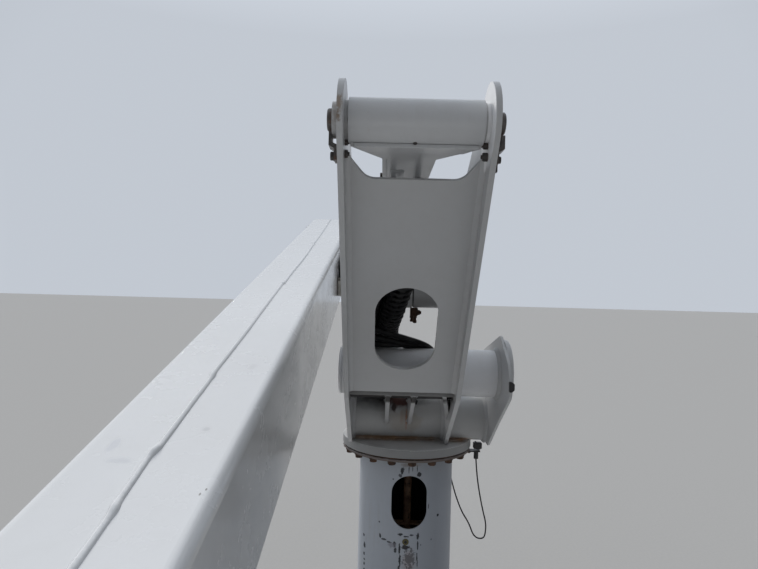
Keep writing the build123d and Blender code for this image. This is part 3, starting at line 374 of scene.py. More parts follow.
def steel(name, base=(0.10, 0.095, 0.09), rough=0.42, metal=0.85, rust=0.5):
    g = Mat(name)
    col = g.mix(g.span(g.noise(40, 5, 0.65), 0.35, 0.7), base, tuple(c * 1.7 for c in base))
    rm = g.mul(g.most(g.span(g.noise(22, 6, 0.72), 0.56, 0.66),
                      g.mul(g.corner(0.012, 0.4, 0.85), 0.8)), rust)
    col = g.mix(rm, col, RUST)
    rgh = g.calc("ADD", g.span(g.noise(70, 4, 0.6), 0.3, 0.7, rough - 0.1, rough + 0.12),
                 g.mul(rm, 0.4), clamp=True)
    return g.done(col, rgh, g.bump(g.noise(260, 4, 0.7), 0.35, 0.0005, g.soft_normal(0.0008)),
                  g.calc("MULTIPLY", g.calc("SUBTRACT", 1.0, rm), metal))


def rubber(name, base=(0.014, 0.014, 0.015), rough=0.55, rib=0.0, dusty=0.35):
    g = Mat(name)
    d = g.mul(g.span(g.noise(30, 6, 0.7), 0.48, 0.72), dusty)
    col = g.mix(d, base, (0.085, 0.080, 0.072))
    h = g.noise(380, 3, 0.6)
    if rib:
        h = g.calc("ADD", h, g.mul(g.cells(rib), 1.5))
    return g.done(col, g.span(g.noise(45, 4, 0.6), 0.3, 0.7, rough - 0.08, rough + 0.16),
                  g.bump(h, 0.4, 0.0006))


rust_ring = rusted("rust_ring")
bolt_rust = rusted("bolt_rust", base=(0.036, 0.021, 0.014), light=(0.125, 0.064, 0.036), rough=0.8)
dark_steel = steel("dark_steel")
zinc = steel("zinc_steel", base=(0.30, 0.29, 0.27), rough=0.36, metal=0.9, rust=0.35)
bolt_dark = steel("bolt_dark", base=(0.055, 0.052, 0.050), rough=0.5, metal=0.45, rust=0.3)
pipe_brown = rusted("pipe_brown", base=(0.15, 0.088, 0.055), light=(0.38, 0.23, 0.145), rough=0.66)
hose_mat = rubber("hose_rubber", base=(0.006, 0.006, 0.007), rough=0.55, dusty=0.10)
wrap_mat = rubber("wrap_plastic", base=(0.007, 0.007, 0.008), rough=0.48, dusty=0.10)
cable_mat = rubber("cable_black", base=(0.006, 0.006, 0.007), rough=0.42, dusty=0.06)
lever_mat = rubber("lever_black", base=(0.020, 0.020, 0.021), rough=0.34, dusty=0.2)

g = Mat("rod_chrome", metal=1.0)
rod_chrome = g.done(g.mix(g.span(g.noise(18, 5, 0.6), 0.45, 0.75), (0.78, 0.78, 0.80), (0.60, 0.60, 0.61)),
                    g.span(g.noise(1.0, 5, 0.6, vec=g.stretch(300, 14, 14)), 0.3, 0.75, 0.07, 0.17),
                    g.bump(g.noise(1.0, 4, 0.6, vec=g.stretch(900, 20, 20)), 0.06, 0.0003))

g = Mat("pad_plastic")
pad_mat = g.done(g.mix(g.span(g.noise(30, 5, 0.7), 0.4, 0.7), (0.78, 0.76, 0.69), (0.42, 0.40, 0.36)),
                 g.span(g.noise(50, 3, 0.6), 0.3, 0.7, 0.45, 0.62),
                 g.bump(g.noise(200, 4, 0.6), 0.3, 0.0004, g.soft_normal(0.0012)))

g = Mat("gelcoat", coat=0.35, coat_rough=0.16)
gc = g.mix(g.span(g.noise(1.9, 4, 0.6), 0.35, 0.68), (0.80, 0.805, 0.80), (0.72, 0.72, 0.70))
gc = g.mix(g.mul(g.span(g.noise(1.0, 6, 0.6, vec=g.stretch(30, 30, 2.2)), 0.54, 0.74), 0.35), gc, (0.45, 0.42, 0.37))
low = g.span(g.part(g.pos, 2), 0.62, 0.12)
gc = g.mix(g.mul(low, g.span(g.noise(11, 6, 0.72), 0.42, 0.66), 0.6), gc, (0.33, 0.29, 0.24))
scr = g.mul(g.span(g.noise(1.0, 5, 0.7, vec=g.stretch(9, 9, 90)), 0.63, 0.70), g.span(g.noise(4, 3), 0.45, 0.6))
gc = g.mix(g.mul(scr, 0.55), gc, (0.20, 0.19, 0.18))
# darker and browner in corners, where the AO node finds nearby surfaces: painted shade
gc = g.mix(g.mul(g.corner(0.05, 0.3, 0.8), 0.5), gc, (0.25, 0.21, 0.17))
gelcoat = g.done(gc, g.calc("ADD", g.span(g.noise(9, 5, 0.6), 0.3, 0.7, 0.24, 0.42), g.mul(low, 0.12)),
                 g.bump(g.calc("ADD", g.mul(g.noise(170, 3, 0.6), 0.15), g.noise(5, 2, 0.5)), 0.22, 0.002))

g = Mat("grey_paint", coat=0.1)
gp = g.mix(g.span(g.noise(6, 5, 0.6), 0.35, 0.7), (0.20, 0.21, 0.22), (0.27, 0.275, 0.28))
# near-black in corners, where the AO node finds nearby surfaces: painted shade
gp = g.mix(g.mul(g.corner(0.03, 0.3, 0.8), 0.7), gp, (0.05, 0.045, 0.04))
gp = g.mix(g.mul(g.edge(0.004, 0.03, 0.16), g.span(g.noise(48, 6, 0.7), 0.5, 0.6), 0.8), gp, (0.42, 0.40, 0.37))
grey_paint = g.done(gp, g.span(g.noise(24, 4, 0.6), 0.3, 0.7, 0.38, 0.58),
                    g.bump(g.noise(240, 3, 0.6), 0.3, 0.0006, g.soft_normal(0.0016)))

g = Mat("stop_red", coat=0.3)
stop_red = g.done(g.mix(g.span(g.noise(60, 5, 0.7), 0.4, 0.75), (0.42, 0.020, 0.016), (0.24, 0.022, 0.018)),
                  g.span(g.noise(80, 4, 0.6), 0.3, 0.7, 0.26, 0.40),
                  g.bump(g.noise(300, 3, 0.6), 0.15, 0.0004))

FINISH = {"slewing_ring": rust_ring, "riser_pipe": pipe_brown, "riser_strap": pipe_brown,
          "boom_pivot_pin": dark_steel, "pin_keepers": dark_steel, "cylinder_base_pin": dark_steel,
          "slew_gearbox": grey_paint, "slew_motor": dark_steel, "hose_bundle": hose_mat,
          "lift_cylinder_rod": rod_chrome, "wear_pads": pad_mat, "platform_shaft": dark_steel,
          "bucket": gelcoat, "bucket_lip": gelcoat, "control_console": grey_paint,
          "control_levers": lever_mat, "cable_gland_top": lever_mat, "cable_gland_side": lever_mat,
          "hanging_cable": cable_mat, "turntable_disc": white_disc, "lower_cross_tube": white_tube,
          "upper_cross_tube": white_upper, "mast_shelf": shelf_painted_shade,
          "upper_boom_box": white_boom, "upper_boom_cap": white_boom, "boom_collar": white_boom,
          "fly_boom_box": fly_paint, "boom_tip_head": fly_paint}
SLOT_FINISH = {"white_paint": white_turret, "pedestal_paint": pedestal_paint}
for body in ("lower_boom", "lift_barrel"):
    for n in frame["record"]["behaviour"]["bodies"][body]:
        FINISH.setdefault(n, white_lower)
for row in frame["record"]["subparts"]:
    n = row["node"]
    m = FINISH.get(n) or SLOT_FINISH.get(row["material_slot"]) or white_turret
    o = NODES[n]
    o.data.materials.clear()
    o.data.materials.append(m)


# ---------------------------------------------------------------------------
# Hanging cable
# ---------------------------------------------------------------------------
CABLE_ROUTE = [(300, -60, 826), (304, -60, 770), (317, -59, 685), (337, -57, 595),
               (350, -54, 551), (352, -51, 512), (345, -47, 473), (303, -41, 476),
               (280, -32, 537), (252, -16, 574), (228, 10, 632), (216, 46, 674),
               (206, 84, 714), (204, 100, 770)]
curve = bpy.data.curves.new("cable", "CURVE")
curve.dimensions = "3D"
curve.bevel_depth = 0.003
curve.bevel_resolution = 4
curve.resolution_u = 12
sp = curve.splines.new("NURBS")
sp.points.add(len(CABLE_ROUTE) - 1)
for p, c in zip(sp.points, CABLE_ROUTE):
    p.co = (c[0] * MM, c[1] * MM, c[2] * MM, 1)
sp.order_u = 3
sp.use_endpoint_u = True
cable = bpy.data.objects.new("cable", curve)
scene.collection.objects.link(cable)
curve.materials.append(cable_mat)
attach(cable, "pedestal")
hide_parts("hanging_cable")


# ---------------------------------------------------------------------------
# Mesh helpers, in millimetres
# ---------------------------------------------------------------------------
X, Y, Z = Vector((1, 0, 0)), Vector((0, 1, 0)), Vector((0, 0, 1))


def piece(name, bm, mats, body, replaces=(), angle=38.0):
    bmesh.ops.remove_doubles(bm, verts=bm.verts, dist=1e-4)
    bmesh.ops.recalc_face_normals(bm, faces=bm.faces)
    bmesh.ops.scale(bm, vec=(MM, MM, MM), verts=bm.verts)
    me = bpy.data.meshes.new(name)
    for f in bm.faces:
        f.smooth = True
    bm.to_mesh(me)
    bm.free()
    me.set_sharp_from_angle(angle=math.radians(angle))
    ob = bpy.data.objects.new(name, me)
    scene.collection.objects.link(ob)
    for m in mats if isinstance(mats, (list, tuple)) else [mats]:
        me.materials.append(m)
    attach(ob, body)
    if replaces:
        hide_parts(*replaces)
    return ob


def skin(bm, rings, closed=False, caps=True, mi=0):
    """Quads between rings of equal length; each ring is a closed loop of points."""
    vs = [[bm.verts.new(p) for p in r] for r in rings]
    n = len(vs[0])
    pairs = list(zip(vs, vs[1:])) + ([(vs[-1], vs[0])] if closed else [])
    for r0, r1 in pairs:
        for k in range(n):
            f = bm.faces.new((r0[k], r0[(k + 1) % n], r1[(k + 1) % n], r1[k]))
            f.material_index = mi
    if caps and not closed:
        bm.faces.new(list(reversed(vs[0]))).material_index = mi
        bm.faces.new(vs[-1]).material_index = mi
    return vs


def basis(axis):
    ax = Vector(axis).normalized()
    u = ax.cross(Z if abs(ax.z) < 0.9 else X).normalized()
    return ax, u, ax.cross(u)


def lathe(bm, prof, origin, axis, seg=24, mi=0, turn=0.0):
    """Turned shape; prof is (radius, height) from one closed end to the other."""
    ax, u, v = basis(axis)
    o = Vector(origin)
    prof = [(max(r, 0.02), h) for r, h in prof]
    rings = []
    for r, h in prof:
        rings.append([o + ax * h + (u * math.cos(a) + v * math.sin(a)) * r
                      for a in (turn + 2 * math.pi * k / seg for k in range(seg))])
    skin(bm, rings, mi=mi)


def hexa(bm, origin, axis, across, height, turn=0.0, mi=0):
    """Hexagon with chamfered corners, standing on origin."""
    r = across / math.sqrt(3)
    ax, u, v = basis(axis)
    o = Vector(origin)
    rings = []
    for k_h, k_r in ((0.0, 1.0), (0.80, 1.0), (1.0, 0.86)):
        ring = []
        for k in range(12):
            a = turn + math.pi * k / 6
            rr = r * (k_r if k % 2 == 0 else min(math.cos(math.pi / 6) * (1 if k_h < 1 else 0.975), k_r))
            ring.append(o + ax * (height * k_h) + (u * math.cos(a) + v * math.sin(a)) * rr)
        rings.append(ring)
    skin(bm, rings, mi=mi)


def bolt(bm, origin, axis, d, rnd, washer=True, tail=0.0, mi=0):
    """Washer, hexagon head and, for a stud, the thread that stands out of the nut."""
    ax = Vector(axis).normalized()
    o = Vector(origin)
    h = 0.0
    if washer:
        lathe(bm, [(0, -0.4), (d * 0.98, -0.4), (d, 0.2), (d, d * 0.13), (d * 0.95, d * 0.17), (0, d * 0.17)],
              o, ax, 24, mi)
        h = d * 0.15
    hexa(bm, o + ax * h, ax, d * 1.55, d * (0.8 if tail else 0.66), rnd.uniform(0, 1.05), mi)
    if tail:
        prof = [(0, 0)]
        z = d * 0.7
        while z < tail:
            prof += [(d * 0.50, z), (d * 0.44, z + d * 0.06)]
            z += d * 0.12
        lathe(bm, prof + [(d * 0.38, z + 0.5), (0, z + 0.5)], o + ax * h, ax, 16, mi)


def block(bm, centre, size, axes=(X, Y, Z), bevel=2.0, mi=0):
    """Block with bevelled edges: rings of an octagon-like outline."""
    c = Vector(centre)
    sx, sy, sz = (s / 2 for s in size)
    b = min(bevel, sx * 0.9, sy * 0.9, sz * 0.9)
    rings = []
    for h, inset in ((-sz, b), (-sz + b * 0.3, b * 0.3), (-sz + b, 0), (sz - b, 0), (sz - b * 0.3, b * 0.3), (sz, b)):
        ring = []
        for qx, qy in ((1, 1), (-1, 1), (-1, -1), (1, -1)):
            x0, y0 = sx - inset, sy - inset
            pts = [(x0, y0 - b), (x0 - b * 0.3, y0 - b * 0.3), (x0 - b, y0)]
            if qx * qy < 0:
                pts.reverse()
            for px, py in pts:
                ring.append(c + axes[0] * (qx * px) + axes[1] * (qy * py) + axes[2] * h)
        rings.append(ring)
    skin(bm, rings, mi=mi)


def resample(pts, step):
    pts = [Vector(p) for p in pts]
    out, carry = [pts[0].copy()], 0.0
    for a, b in zip(pts, pts[1:]):
        ln = (b - a).length
        d = step - carry
        while d <= ln:
            out.append(a.lerp(b, d / ln))
            d += step
        carry = ln - (d - step)
    if (out[-1] - pts[-1]).length > step * 0.3:
        out.append(pts[-1].copy())
    return out


def chaikin(pts, times):
    pts = [Vector(p) for p in pts]
    for _ in range(times):
        new = [pts[0]]
        for a, b in zip(pts, pts[1:]):
            new += [a.lerp(b, 0.25), a.lerp(b, 0.75)]
        pts = new + [pts[-1]]
    return pts


def frames(pts):
    """Tangent and two steady side directions at each point."""
    out = []
    t = (pts[1] - pts[0]).normalized()
    u = t.cross(Z if abs(t.z) < 0.9 else X).normalized()
    for i, p in enumerate(pts):
        a, b = pts[max(i - 1, 0)], pts[min(i + 1, len(pts) - 1)]
        t = (b - a).normalized()
        u = (u - t * u.dot(t)).normalized()
        out.append((p, t, u, t.cross(u)))
    return out


def tube(bm, pts, r, seg=12, mi=0):
    rings = []
    for i, (p, t, u, v) in enumerate(frames([Vector(q) for q in pts])):
        rr = r(i) if callable(r) else r
        rings.append([p + (u * math.cos(a) + v * math.sin(a)) * rr
                      for a in (2 * math.pi * k / seg for k in range(seg))])
    skin(bm, rings, mi=mi)


def bead(bm, pts, da, db, leg, rnd, step=3.2, closed=False, ripple=0.10, mi=0, calm=1.0):
    """Weld bead in an inside corner. da and db point along the two faces."""
    pts = resample(pts, step)
    if closed:
        pts = pts[:-1] if (pts[0] - pts[-1]).length < step * 0.9 else pts
    la, lb = leg if isinstance(leg, tuple) else (leg, leg)
    ph, slow = rnd.uniform(0, 6), 1.0
    rings = []
    n = len(pts)
    for i, p in enumerate(pts):
        a = da(p) if callable(da) else da
        b = db(p) if callable(db) else db
        slow += (1.0 - slow) * 0.2 + rnd.uniform(-0.045, 0.045) * calm
        k = slow * (1 + ripple * calm * math.sin(ph + i * step * 2 * math.pi / 8.5) + rnd.uniform(-0.03, 0.03) * calm)
        ka, kb = la * k, lb * k
        rings.append([p - a - b, p + a * ka - b * 0.6, p + a * ka * 0.86 + b * kb * 0.26,
                      p + a * ka * 0.56 + b * kb * 0.58, p + a * ka * 0.24 + b * kb * 0.88, p + b * kb - a * 0.6])
    skin(bm, rings, closed=closed, mi=mi)


def circle(centre, axis, r, n=180):
    ax, u, v = basis(axis)
    c = Vector(centre)
    return [c + (u * math.cos(2 * math.pi * k / n) + v * math.sin(2 * math.pi * k / n)) * r for k in range(n + 1)]


def ring_bead(bm, centre, axis, r, leg, rnd, calm=1.0):
    """Weld round a tube that stands on a plate, on the side the axis points to."""
    c, ax = Vector(centre), Vector(axis).normalized()
    bead(bm, circle(c, ax, r), lambda p: (p - c - ax * (p - c).dot(ax)).normalized(), ax, leg, rnd,
         closed=True, calm=calm)


# ---------------------------------------------------------------------------
# Pedestal
# ---------------------------------------------------------------------------
rnd = random.Random(11)
bm = bmesh.new()
for k in range(20):
    a = math.radians(-87.3 + 18 * k)
    if k == 4:
        continue
    bolt(bm, (261 * math.cos(a), 261 * math.sin(a), 863), -Z, 18.5, rnd)
bolt(bm, (268, -60, 857), -Z, 9, rnd)
piece("flange_bolts", bm, bolt_rust, "pedestal")

bm = bmesh.new()
for k in range(16):
    a = math.radians(22.5 * k)
    bolt(bm, (255 * math.cos(a), 255 * math.sin(a), 25), Z, 19, rnd, tail=26)
piece("base_studs", bm, zinc, "pedestal")

bm = bmesh.new()
ring_bead(bm, (0, 0, 25), Z, 203, 9, rnd)
ring_bead(bm, (0, 0, 863), -Z, 203, 7, rnd)
for k in range(8):
    a = math.radians(11.25 + 45 * k)
    e, s = Vector((math.cos(a), math.sin(a), 0)), Vector((-math.sin(a), math.cos(a), 0))
    for q in (1, -1):
        bead(bm, [e * 205 + s * (6 * q) + Z * 25, e * 259 + s * (6 * q) + Z * 25], s * q, Z, 6, rnd)
        bead(bm, [e * 203.4 + s * (6 * q) + Z * 32, e * 203.4 + s * (6 * q) + Z * 188], s * q, e, 6, rnd)
piece("pedestal_welds", bm, pedestal_paint, "pedestal")

bm = bmesh.new()
lathe(bm, [(0, 0), (12.5, 0), (13.5, 1.5), (12.5, 3.5), (9, 5), (7.5, 3.6), (0, 3.2)], (-3, -201.8, 519), -Y, 24)
lathe(bm, [(0, 0), (5.6, 0), (5.6, 1.5), (0, 1.6)], (-3, -205.0, 519), -Y, 18, mi=1)
piece("column_plug", bm, [rubber("plug_olive", base=(0.13, 0.115, 0.045), rough=0.5), lever_mat], "pedestal")

# plug housing on the cable's tab
bm = bmesh.new()
block(bm, (305, -60, 883), (36, 26, 26), bevel=3)
hexa(bm, (309, -60, 871), -Z, 19, 5, 0.2)
for dy in (-8, 8):
    lathe(bm, [(0, 0), (3.2, 0), (3.2, 2), (1.5, 2.6), (0, 2.6)], (297, -60 + dy, 896), Z, 12)
piece("cable_housing", bm, lever_mat, "pedestal")

# ---------------------------------------------------------------------------
# Turret
# ---------------------------------------------------------------------------
IN_L, IN_R, MAST_T = -233.0, 145.5, 16.0
OUT_L, OUT_R = IN_L - MAST_T, IN_R + MAST_T
BACK0, BACK_UP = Vector((0, -496, 1182)), Vector((0, -0.587429, 0.809143)).normalized()
BACK_N = Vector((0, -BACK_UP.z, BACK_UP.y))
LOW_C, UP_C = Vector((0, -75, 1004)), Vector((0, -320, 1232))
PIV = Vector((0, -1033, 1993.5))

bm = bmesh.new()
for x, q in ((IN_L, 1), (IN_R, -1)):
    bead(bm, [BACK0 + X * x + BACK_UP * u for u in (4, 450, 893)], X * q, BACK_N, (15.5, 9), rnd, calm=0.3)
    ring_bead(bm, LOW_C + X * x, X * q, 90, 12, rnd, calm=0.5)
    ring_bead(bm, UP_C + X * x, X * q, 90, 8, rnd, calm=0.5)
for c in (LOW_C, UP_C):
    ring_bead(bm, c + X * OUT_R, X, 90, 9, rnd)
    ring_bead(bm, c + X * 326, -X, 90, 12, rnd, calm=0.4)
ring_bead(bm, UP_C + X * OUT_L, -X, 90, 7, rnd)
for x in (-101.0, -6.0):
    for side, q in ((x, -1), (x + 15, 1)):
        bead(bm, [Vector((side, -484, 1167)), Vector((side, -400, 1146))], X * q, Vector((0, -0.25, -0.97)), 6, rnd)
        bead(bm, [Vector((side, -166, 1000)), Vector((side, -122, 1083))], X * q, Vector((0, -0.9, 0.43)), 6, rnd)
ring_bead(bm, PIV + X * OUT_L, -X, 48, 5, rnd)
ring_bead(bm, PIV + X * OUT_R, X, 48, 5, rnd)
for x, q in ((IN_L, 1), (IN_R, -1)):
    ring_bead(bm, Vector((x, -80, 1533)), X * q, 60, 7, rnd)
ring_bead(bm, (336, -365, 1243), X, 124, 6, rnd)
piece("turret_welds", bm, white_turret, "turret")

# the lower tube's long welds on the disc
bm = bmesh.new()
for y, q in ((-108, -1), (-42, 1)):
    half = math.sqrt(281.0 ** 2 - (y * 1.0) ** 2) - 6
    up = Vector((0, 0.42 * q, 0.91)).normalized()
    bead(bm, [Vector((max(-246, -half), y, 914)), Vector((half, y, 914))], Y * q, up, (10, 9), rnd, calm=0.6)
piece("foot_welds", bm, white_tube, "turret")

bm = bmesh.new()
for x, q, d in ((OUT_L - 10, -1, 14.0), (OUT_R + 10, 1, 11.0)):
    bolt(bm, (x, -1033, 1898), X * q, d, rnd)
for x, q in ((IN_L, 1), (IN_R, -1)):
    for z, across, h in ((1905, 20, 9), (1934, 13, 8)) if q > 0 else ((1905, 20, 14), (1934, 15, 13)):
        hexa(bm, (x, -1033, z), X * q, across, h, 0.4)
        lathe(bm, [(0, h), (across * 0.27, h), (across * 0.27, h + 4), (0, h + 5)], (x, -1033, z), X * q, 14)
block(bm, (166.5, -1040, 1873), (7, 16, 20), bevel=1.5)
piece("keeper_bolts", bm, bolt_dark, "turret")

bm = bmesh.new()
for k in range(24):
    a = math.radians(7.5 + 15 * k)
    x, y = 240 * math.cos(a), 240 * math.sin(a)
    if y < 30 or (abs(x - 55) < 90 and y > 90):
        continue
    bolt(bm, (x, y, 914), Z, 12.5, rnd)
for k in range(8):
    a = math.radians(45 * k + 10)
    bolt(bm, (55 + 66 * math.cos(a), 178 + 66 * math.sin(a), 934), Z, 6.5, rnd, washer=False)
piece("disc_bolts", bm, bolt_rust, "turret")

bm = bmesh.new()
for k in range(8):
    a = math.radians(45 * k + 22.5)
    bolt(bm, (358, -365 + 92 * math.cos(a), 1243 + 92 * math.sin(a)), X, 6.5, rnd, washer=False)
piece("boss_bolts", bm, dark_steel, "turret")

# rubber buffer let into the rear rim of the cheek
bm = bmesh.new()
rings = []
for x, w in ((325.4, 17.5), (333.0, 18.5), (343.5, 11.0)):
    ring = []
    for y, z in ((-560.5, -1), (-560.5, 1), (-546, 1), (-546, -1)):
        ring.append(Vector((x, y, 1220 + z * w)))
    rings.append(ring)
skin(bm, rings)
bmesh.ops.bevel(bm, geom=bm.edges[:], offset=1.2, segments=2, affect="EDGES", clamp_overlap=True)
piece("rim_buffer", bm, lever_mat, "turret")

# hoses up through the mast
HOSE_ROUTE = [(-64, 68, 916), (-72, 70, 1130), (-95, -70, 1335), (-108, -290, 1400),
              (-87, -470, 1475), (-52, -610, 1610), (-35, -715, 1780)]
core = resample(chaikin(HOSE_ROUTE, 5), 9.0)
fr = frames(core)
bm = bmesh.new()
lay = [(0, 0, 15)] + [(31, k * math.pi / 3.5, rnd.choice((12.5, 14, 15))) for k in range(7)]
for rad, a0, r in lay:
    pts = []
    for i, (p, t, u, v) in enumerate(fr):
        a = a0 + 0.0032 * i * 9.0
        w = rad + 1.5 * math.sin(i * 0.11 + a0 * 3)
        pts.append(p + (u * math.cos(a) + v * math.sin(a)) * w)
    tube(bm, pts, r, 14)
# three more on the left of the wrap
for k, (ox, oy, r) in enumerate(((-60, 6, 14), (-84, -8, 12.5), (-66, -26, 13))):
    pts = []
    for i, (p, t, u, v) in enumerate(fr):
        f = min(1.0, i / 28.0, (len(fr) - 1 - i) / 14.0)
        f = f * f * (3 - 2 * f)
        pts.append(p + Vector((ox * f + 3 * math.sin(i * 0.09 + k), oy * f - 2 * (1 - f) * k, 4 * math.sin(i * 0.07 + 2 * k))))
    tube(bm, pts, r, 14)
hose_piece = piece("mast_hoses", bm, hose_mat, "turret", replaces=("hose_bundle",), angle=60)

bm = bmesh.new()
fine = resample(chaikin(HOSE_ROUTE, 5), 2.5)
rings = []
for i, (p, t, u, v) in enumerate(frames(fine)):
    s = i * 2.5
    if s < 190 or s > 1390:
        continue
    a = 2 * math.pi * s / 24.0
    e = u * math.cos(a) + v * math.sin(a)
    w = 7.4 + 0.9 * math.sin(s * 0.05)
    rings.append([p + e * 45.2 - t * w, p + e * 48.6 - t * (w - 1.5), p + e * 49.3, p + e * 48.6 + t * (w - 1.5),
                  p + e * 45.2 + t * w, p + e * 44.2])
skin(bm, rings)
piece("hose_wrap", bm, wrap_mat, "turret", angle=50)

# loose hoses from the motor over the upper tube, and the valve under the cylinder's base
bm = bmesh.new()
for k, (r, pts) in enumerate((
        (11.5, [(40, 250, 1140), (46, 262, 1230), (60, 100, 1270), (84, -120, 1285), (88, -230, 1306),
                (42, -322, 1340), (-45, -350, 1366), (-120, -380, 1388), (-165, -400, 1404)]),
        (11.5, [(53, 250, 1140), (72, 262, 1222), (74, 100, 1258), (74, -120, 1272), (66, -240, 1298),
                (12, -325, 1336), (-60, -345, 1345), (-130, -366, 1362), (-180, -380, 1372)]),
        (12.5, [(64, 250, 1140), (92, 258, 1214), (94, 100, 1246), (60, -120, 1262), (34, -245, 1296),
                (-25, -330, 1338), (-80, -345, 1337), (-150, -352, 1338), (-196, -356, 1339)]),
        (12.5, [(-205, -110, 1332), (-209, -230, 1330), (-210, -330, 1345), (-208, -430, 1415), (-196, -540, 1540),
                (-180, -650, 1700)]))):
    tube(bm, resample(chaikin(pts, 4), 9.0), r, 14)
piece("motor_hoses", bm, hose_mat, "turret", angle=60)

bm = bmesh.new()
block(bm, (14, -80, 1455), (32, 50, 34), bevel=3)
for dx, dy, k in ((-9, -12, 1.0), (5, 10, 1.25)):
    hexa(bm, (14 + dx, -80 + dy, 1439), -Z, 17, 11, 0.3)
    lathe(bm, [(0, 11), (6.5, 11), (6.5, 17 * k), (8.5, 17 * k), (8.5, 25 * k), (4, 27 * k), (0, 27 * k)],
          (14 + dx, -80 + dy, 1439), -Z, 14)
hexa(bm, (30, -80, 1452), X, 20, 10, 0.2)
lathe(bm, [(0, 10), (7, 10), (7, 15), (0, 16)], (30, -80, 1452), X, 14)
piece("lift_valve", bm, bolt_rust, "turret")

# washers between the cylinder's eye and the stub tubes
bm = bmesh.new()
for x, q in ((9.0, -1), (-119.0, 1)):
    lathe(bm, [(0, -0.5), (56, -0.5), (57.5, 0.6), (57.5, 2.2), (56, 3.0), (0, 3.0)], (x, -80, 1533), X * q, 48)
piece("base_washers", bm, lever_mat, "turret")

# domed plate that closes the upper tube's left end
bm = bmesh.new()
lathe(bm, [(0, -1), (88, -1), (90, 1), (90, 7), (87.5, 10.6), (80, 12), (40, 13), (0, 13)], (-269.5, -320, 1232), -X, 72)
piece("tube_end_plate", bm, white_upper, "turret", angle=60)

bm = bmesh.new()
for x in (40, 66):
    hexa(bm, (x - 4, 232, 1150), Z, 20, 9, 0.3)
hexa(bm, (55, 178, 1168), Z, 30, 12, 0.1)
for k in range(4):
    a = math.radians(45 + 90 * k)
    bolt(bm, (55 + 36 * math.cos(a), 178 + 36 * math.sin(a), 1168), Z, 7, rnd, washer=False)
piece("motor_fittings", bm, zinc, "turret")

# ---------------------------------------------------------------------------
# Lower boom and lift cylinder
# ---------------------------------------------------------------------------
bm = bmesh.new()
bead(bm, [Vector((-217, -1034, 1933)), Vector((128, -1034, 1933))], -Y, -Z, (7, 4), rnd)
bead(bm, [Vector((-217, -1033, 2052)), Vector((128, -1033, 2052))], -Y, Vector((0, 0.3, 0.95)), (8, 5), rnd)
for x, q in ((-134, -1), (23, 1)):
    bead(bm, [Vector((x, -877, 1934)), Vector((x, -877, 2104))], X * q, Y, (4, 9), rnd)
for x0 in (-107.0, -23.0):
    for x, q in ((x0, -1), (x0 + 20, 1)):
        bead(bm, [Vector((x, -561, 1930.5)), Vector((x, -468, 1930.5))], X * q, -Z, 8, rnd)
for x, q in ((-134, -1), (23, 1)):
    bead(bm, [Vector((x, 1300, 1935)), Vector((x, 1300, 2070)), Vector((x, 1400, 2128))], X * q,
         Vector((0, -1, 0.3)).normalized(), 8, rnd)
ring_bead(bm, (-150, 1650, 1930), -X, 95, 9, rnd)
block(bm, (-86, -640, 1929.5), (44, 150, 5), bevel=1.2)
rings = []
for z, e in ((1922.5, 1.2), (1923.7, 0.0), (1931.8, 0.0), (1933.0, 0.6)):
    rings.append([Vector((-208 + e, -1043 + e, z)), Vector((120 - e, -1043 + e, z)),
                  Vector((88 - e, -985 - e, z)), Vector((-178 + e, -985 - e, z))])
skin(bm, rings)
block(bm, (-121, -700, 1929.8), (3, 340, 3), bevel=0.8)
piece("lower_boom_welds", bm, white_lower, "lower_boom")

bm = bmesh.new()
for k in range(6):
    a = math.radians(60 * k + 15)
    bolt(bm, (53, 1650 + 52 * math.cos(a), 1930 + 52 * math.sin(a)), X, 8.5, rnd)
    hexa(bm, (-696, 1650 + 49 * math.cos(a), 1930 + 49 * math.sin(a)), -X, 14, 5, a)
for dx, dz in ((-55, 95), (-55, 175), (-110, 95), (-110, 175)):
    bolt(bm, (dx + 27, 1572, 1930.5 + dz), Y, 8, rnd)
piece("elbow_bolts", bm, zinc, "lower_boom")

bm = bmesh.new()
lathe(bm, [(0, 0), (5.6, 0), (5.6, 1.6), (3.4, 2.4), (3.4, 3), (1.6, 3.6), (0, 3.6)],
      (-47.5, -1045.5, 1934.4), (0, -0.35, -0.937), 14)
hexa(bm, (-134, -590, 1940), -X, 13, 8, 0.3)
piece("grease_point", bm, bolt_dark, "lower_boom")

CB, CU = Vector((-55, -80, 1533)), Vector((0, -0.865865, 0.500278))
CN = Vector((0, 0.500278, 0.865865))
bm = bmesh.new()
for s in (78, 486):
    lathe(bm, [(0, 50), (17, 50), (17, 64), (15, 66), (0, 66)], CB + CU * s, CN, 20)
    hexa(bm, CB + CU * s + CN * 66, CN, 22, 10, 0.2)
pts = chaikin([CB + CU * 486 + CN * 76, CB + CU * 486 + CN * 92, CB + CU * 470 + CN * 96, CB + CU * 300 + CN * 84,
               CB + CU * 140 + CN * 84, CB + CU * 112 + CN * 96, CB + CU * 100 + CN * 92, CB + CU * 100 + CN * 70,
               CB + CU * 100 + CN * 52], 4)
tube(bm, resample(pts, 8), 7, 12)
for s in (220, 380):
    block(bm, CB + CU * s + CN * 72, (26, 20, 40), axes=(X, CU, CN), bevel=2)
for k in range(6):
    a = 2 * math.pi * k / 6 + 0.3
    d = X * math.cos(a) + CN * math.sin(a)
    bolt(bm, CB + CU * 549 + d * 46, CU, 6, rnd, washer=False)
piece("cylinder_ports", bm, zinc, "lift_barrel")

# ---------------------------------------------------------------------------
# Upper boom
# ---------------------------------------------------------------------------
SL = math.atan(0.2473)
UC, US = math.cos(SL), math.sin(SL)
REF_Y, REF_Z = 1650 + 90 * US, 1930 - 90 * UC
UBX0, UBX1, UBH = -676.0, -378.0, 360.0
ALONG, OUTW = Vector((0, -UC, -US)), Vector((0, -US, UC))


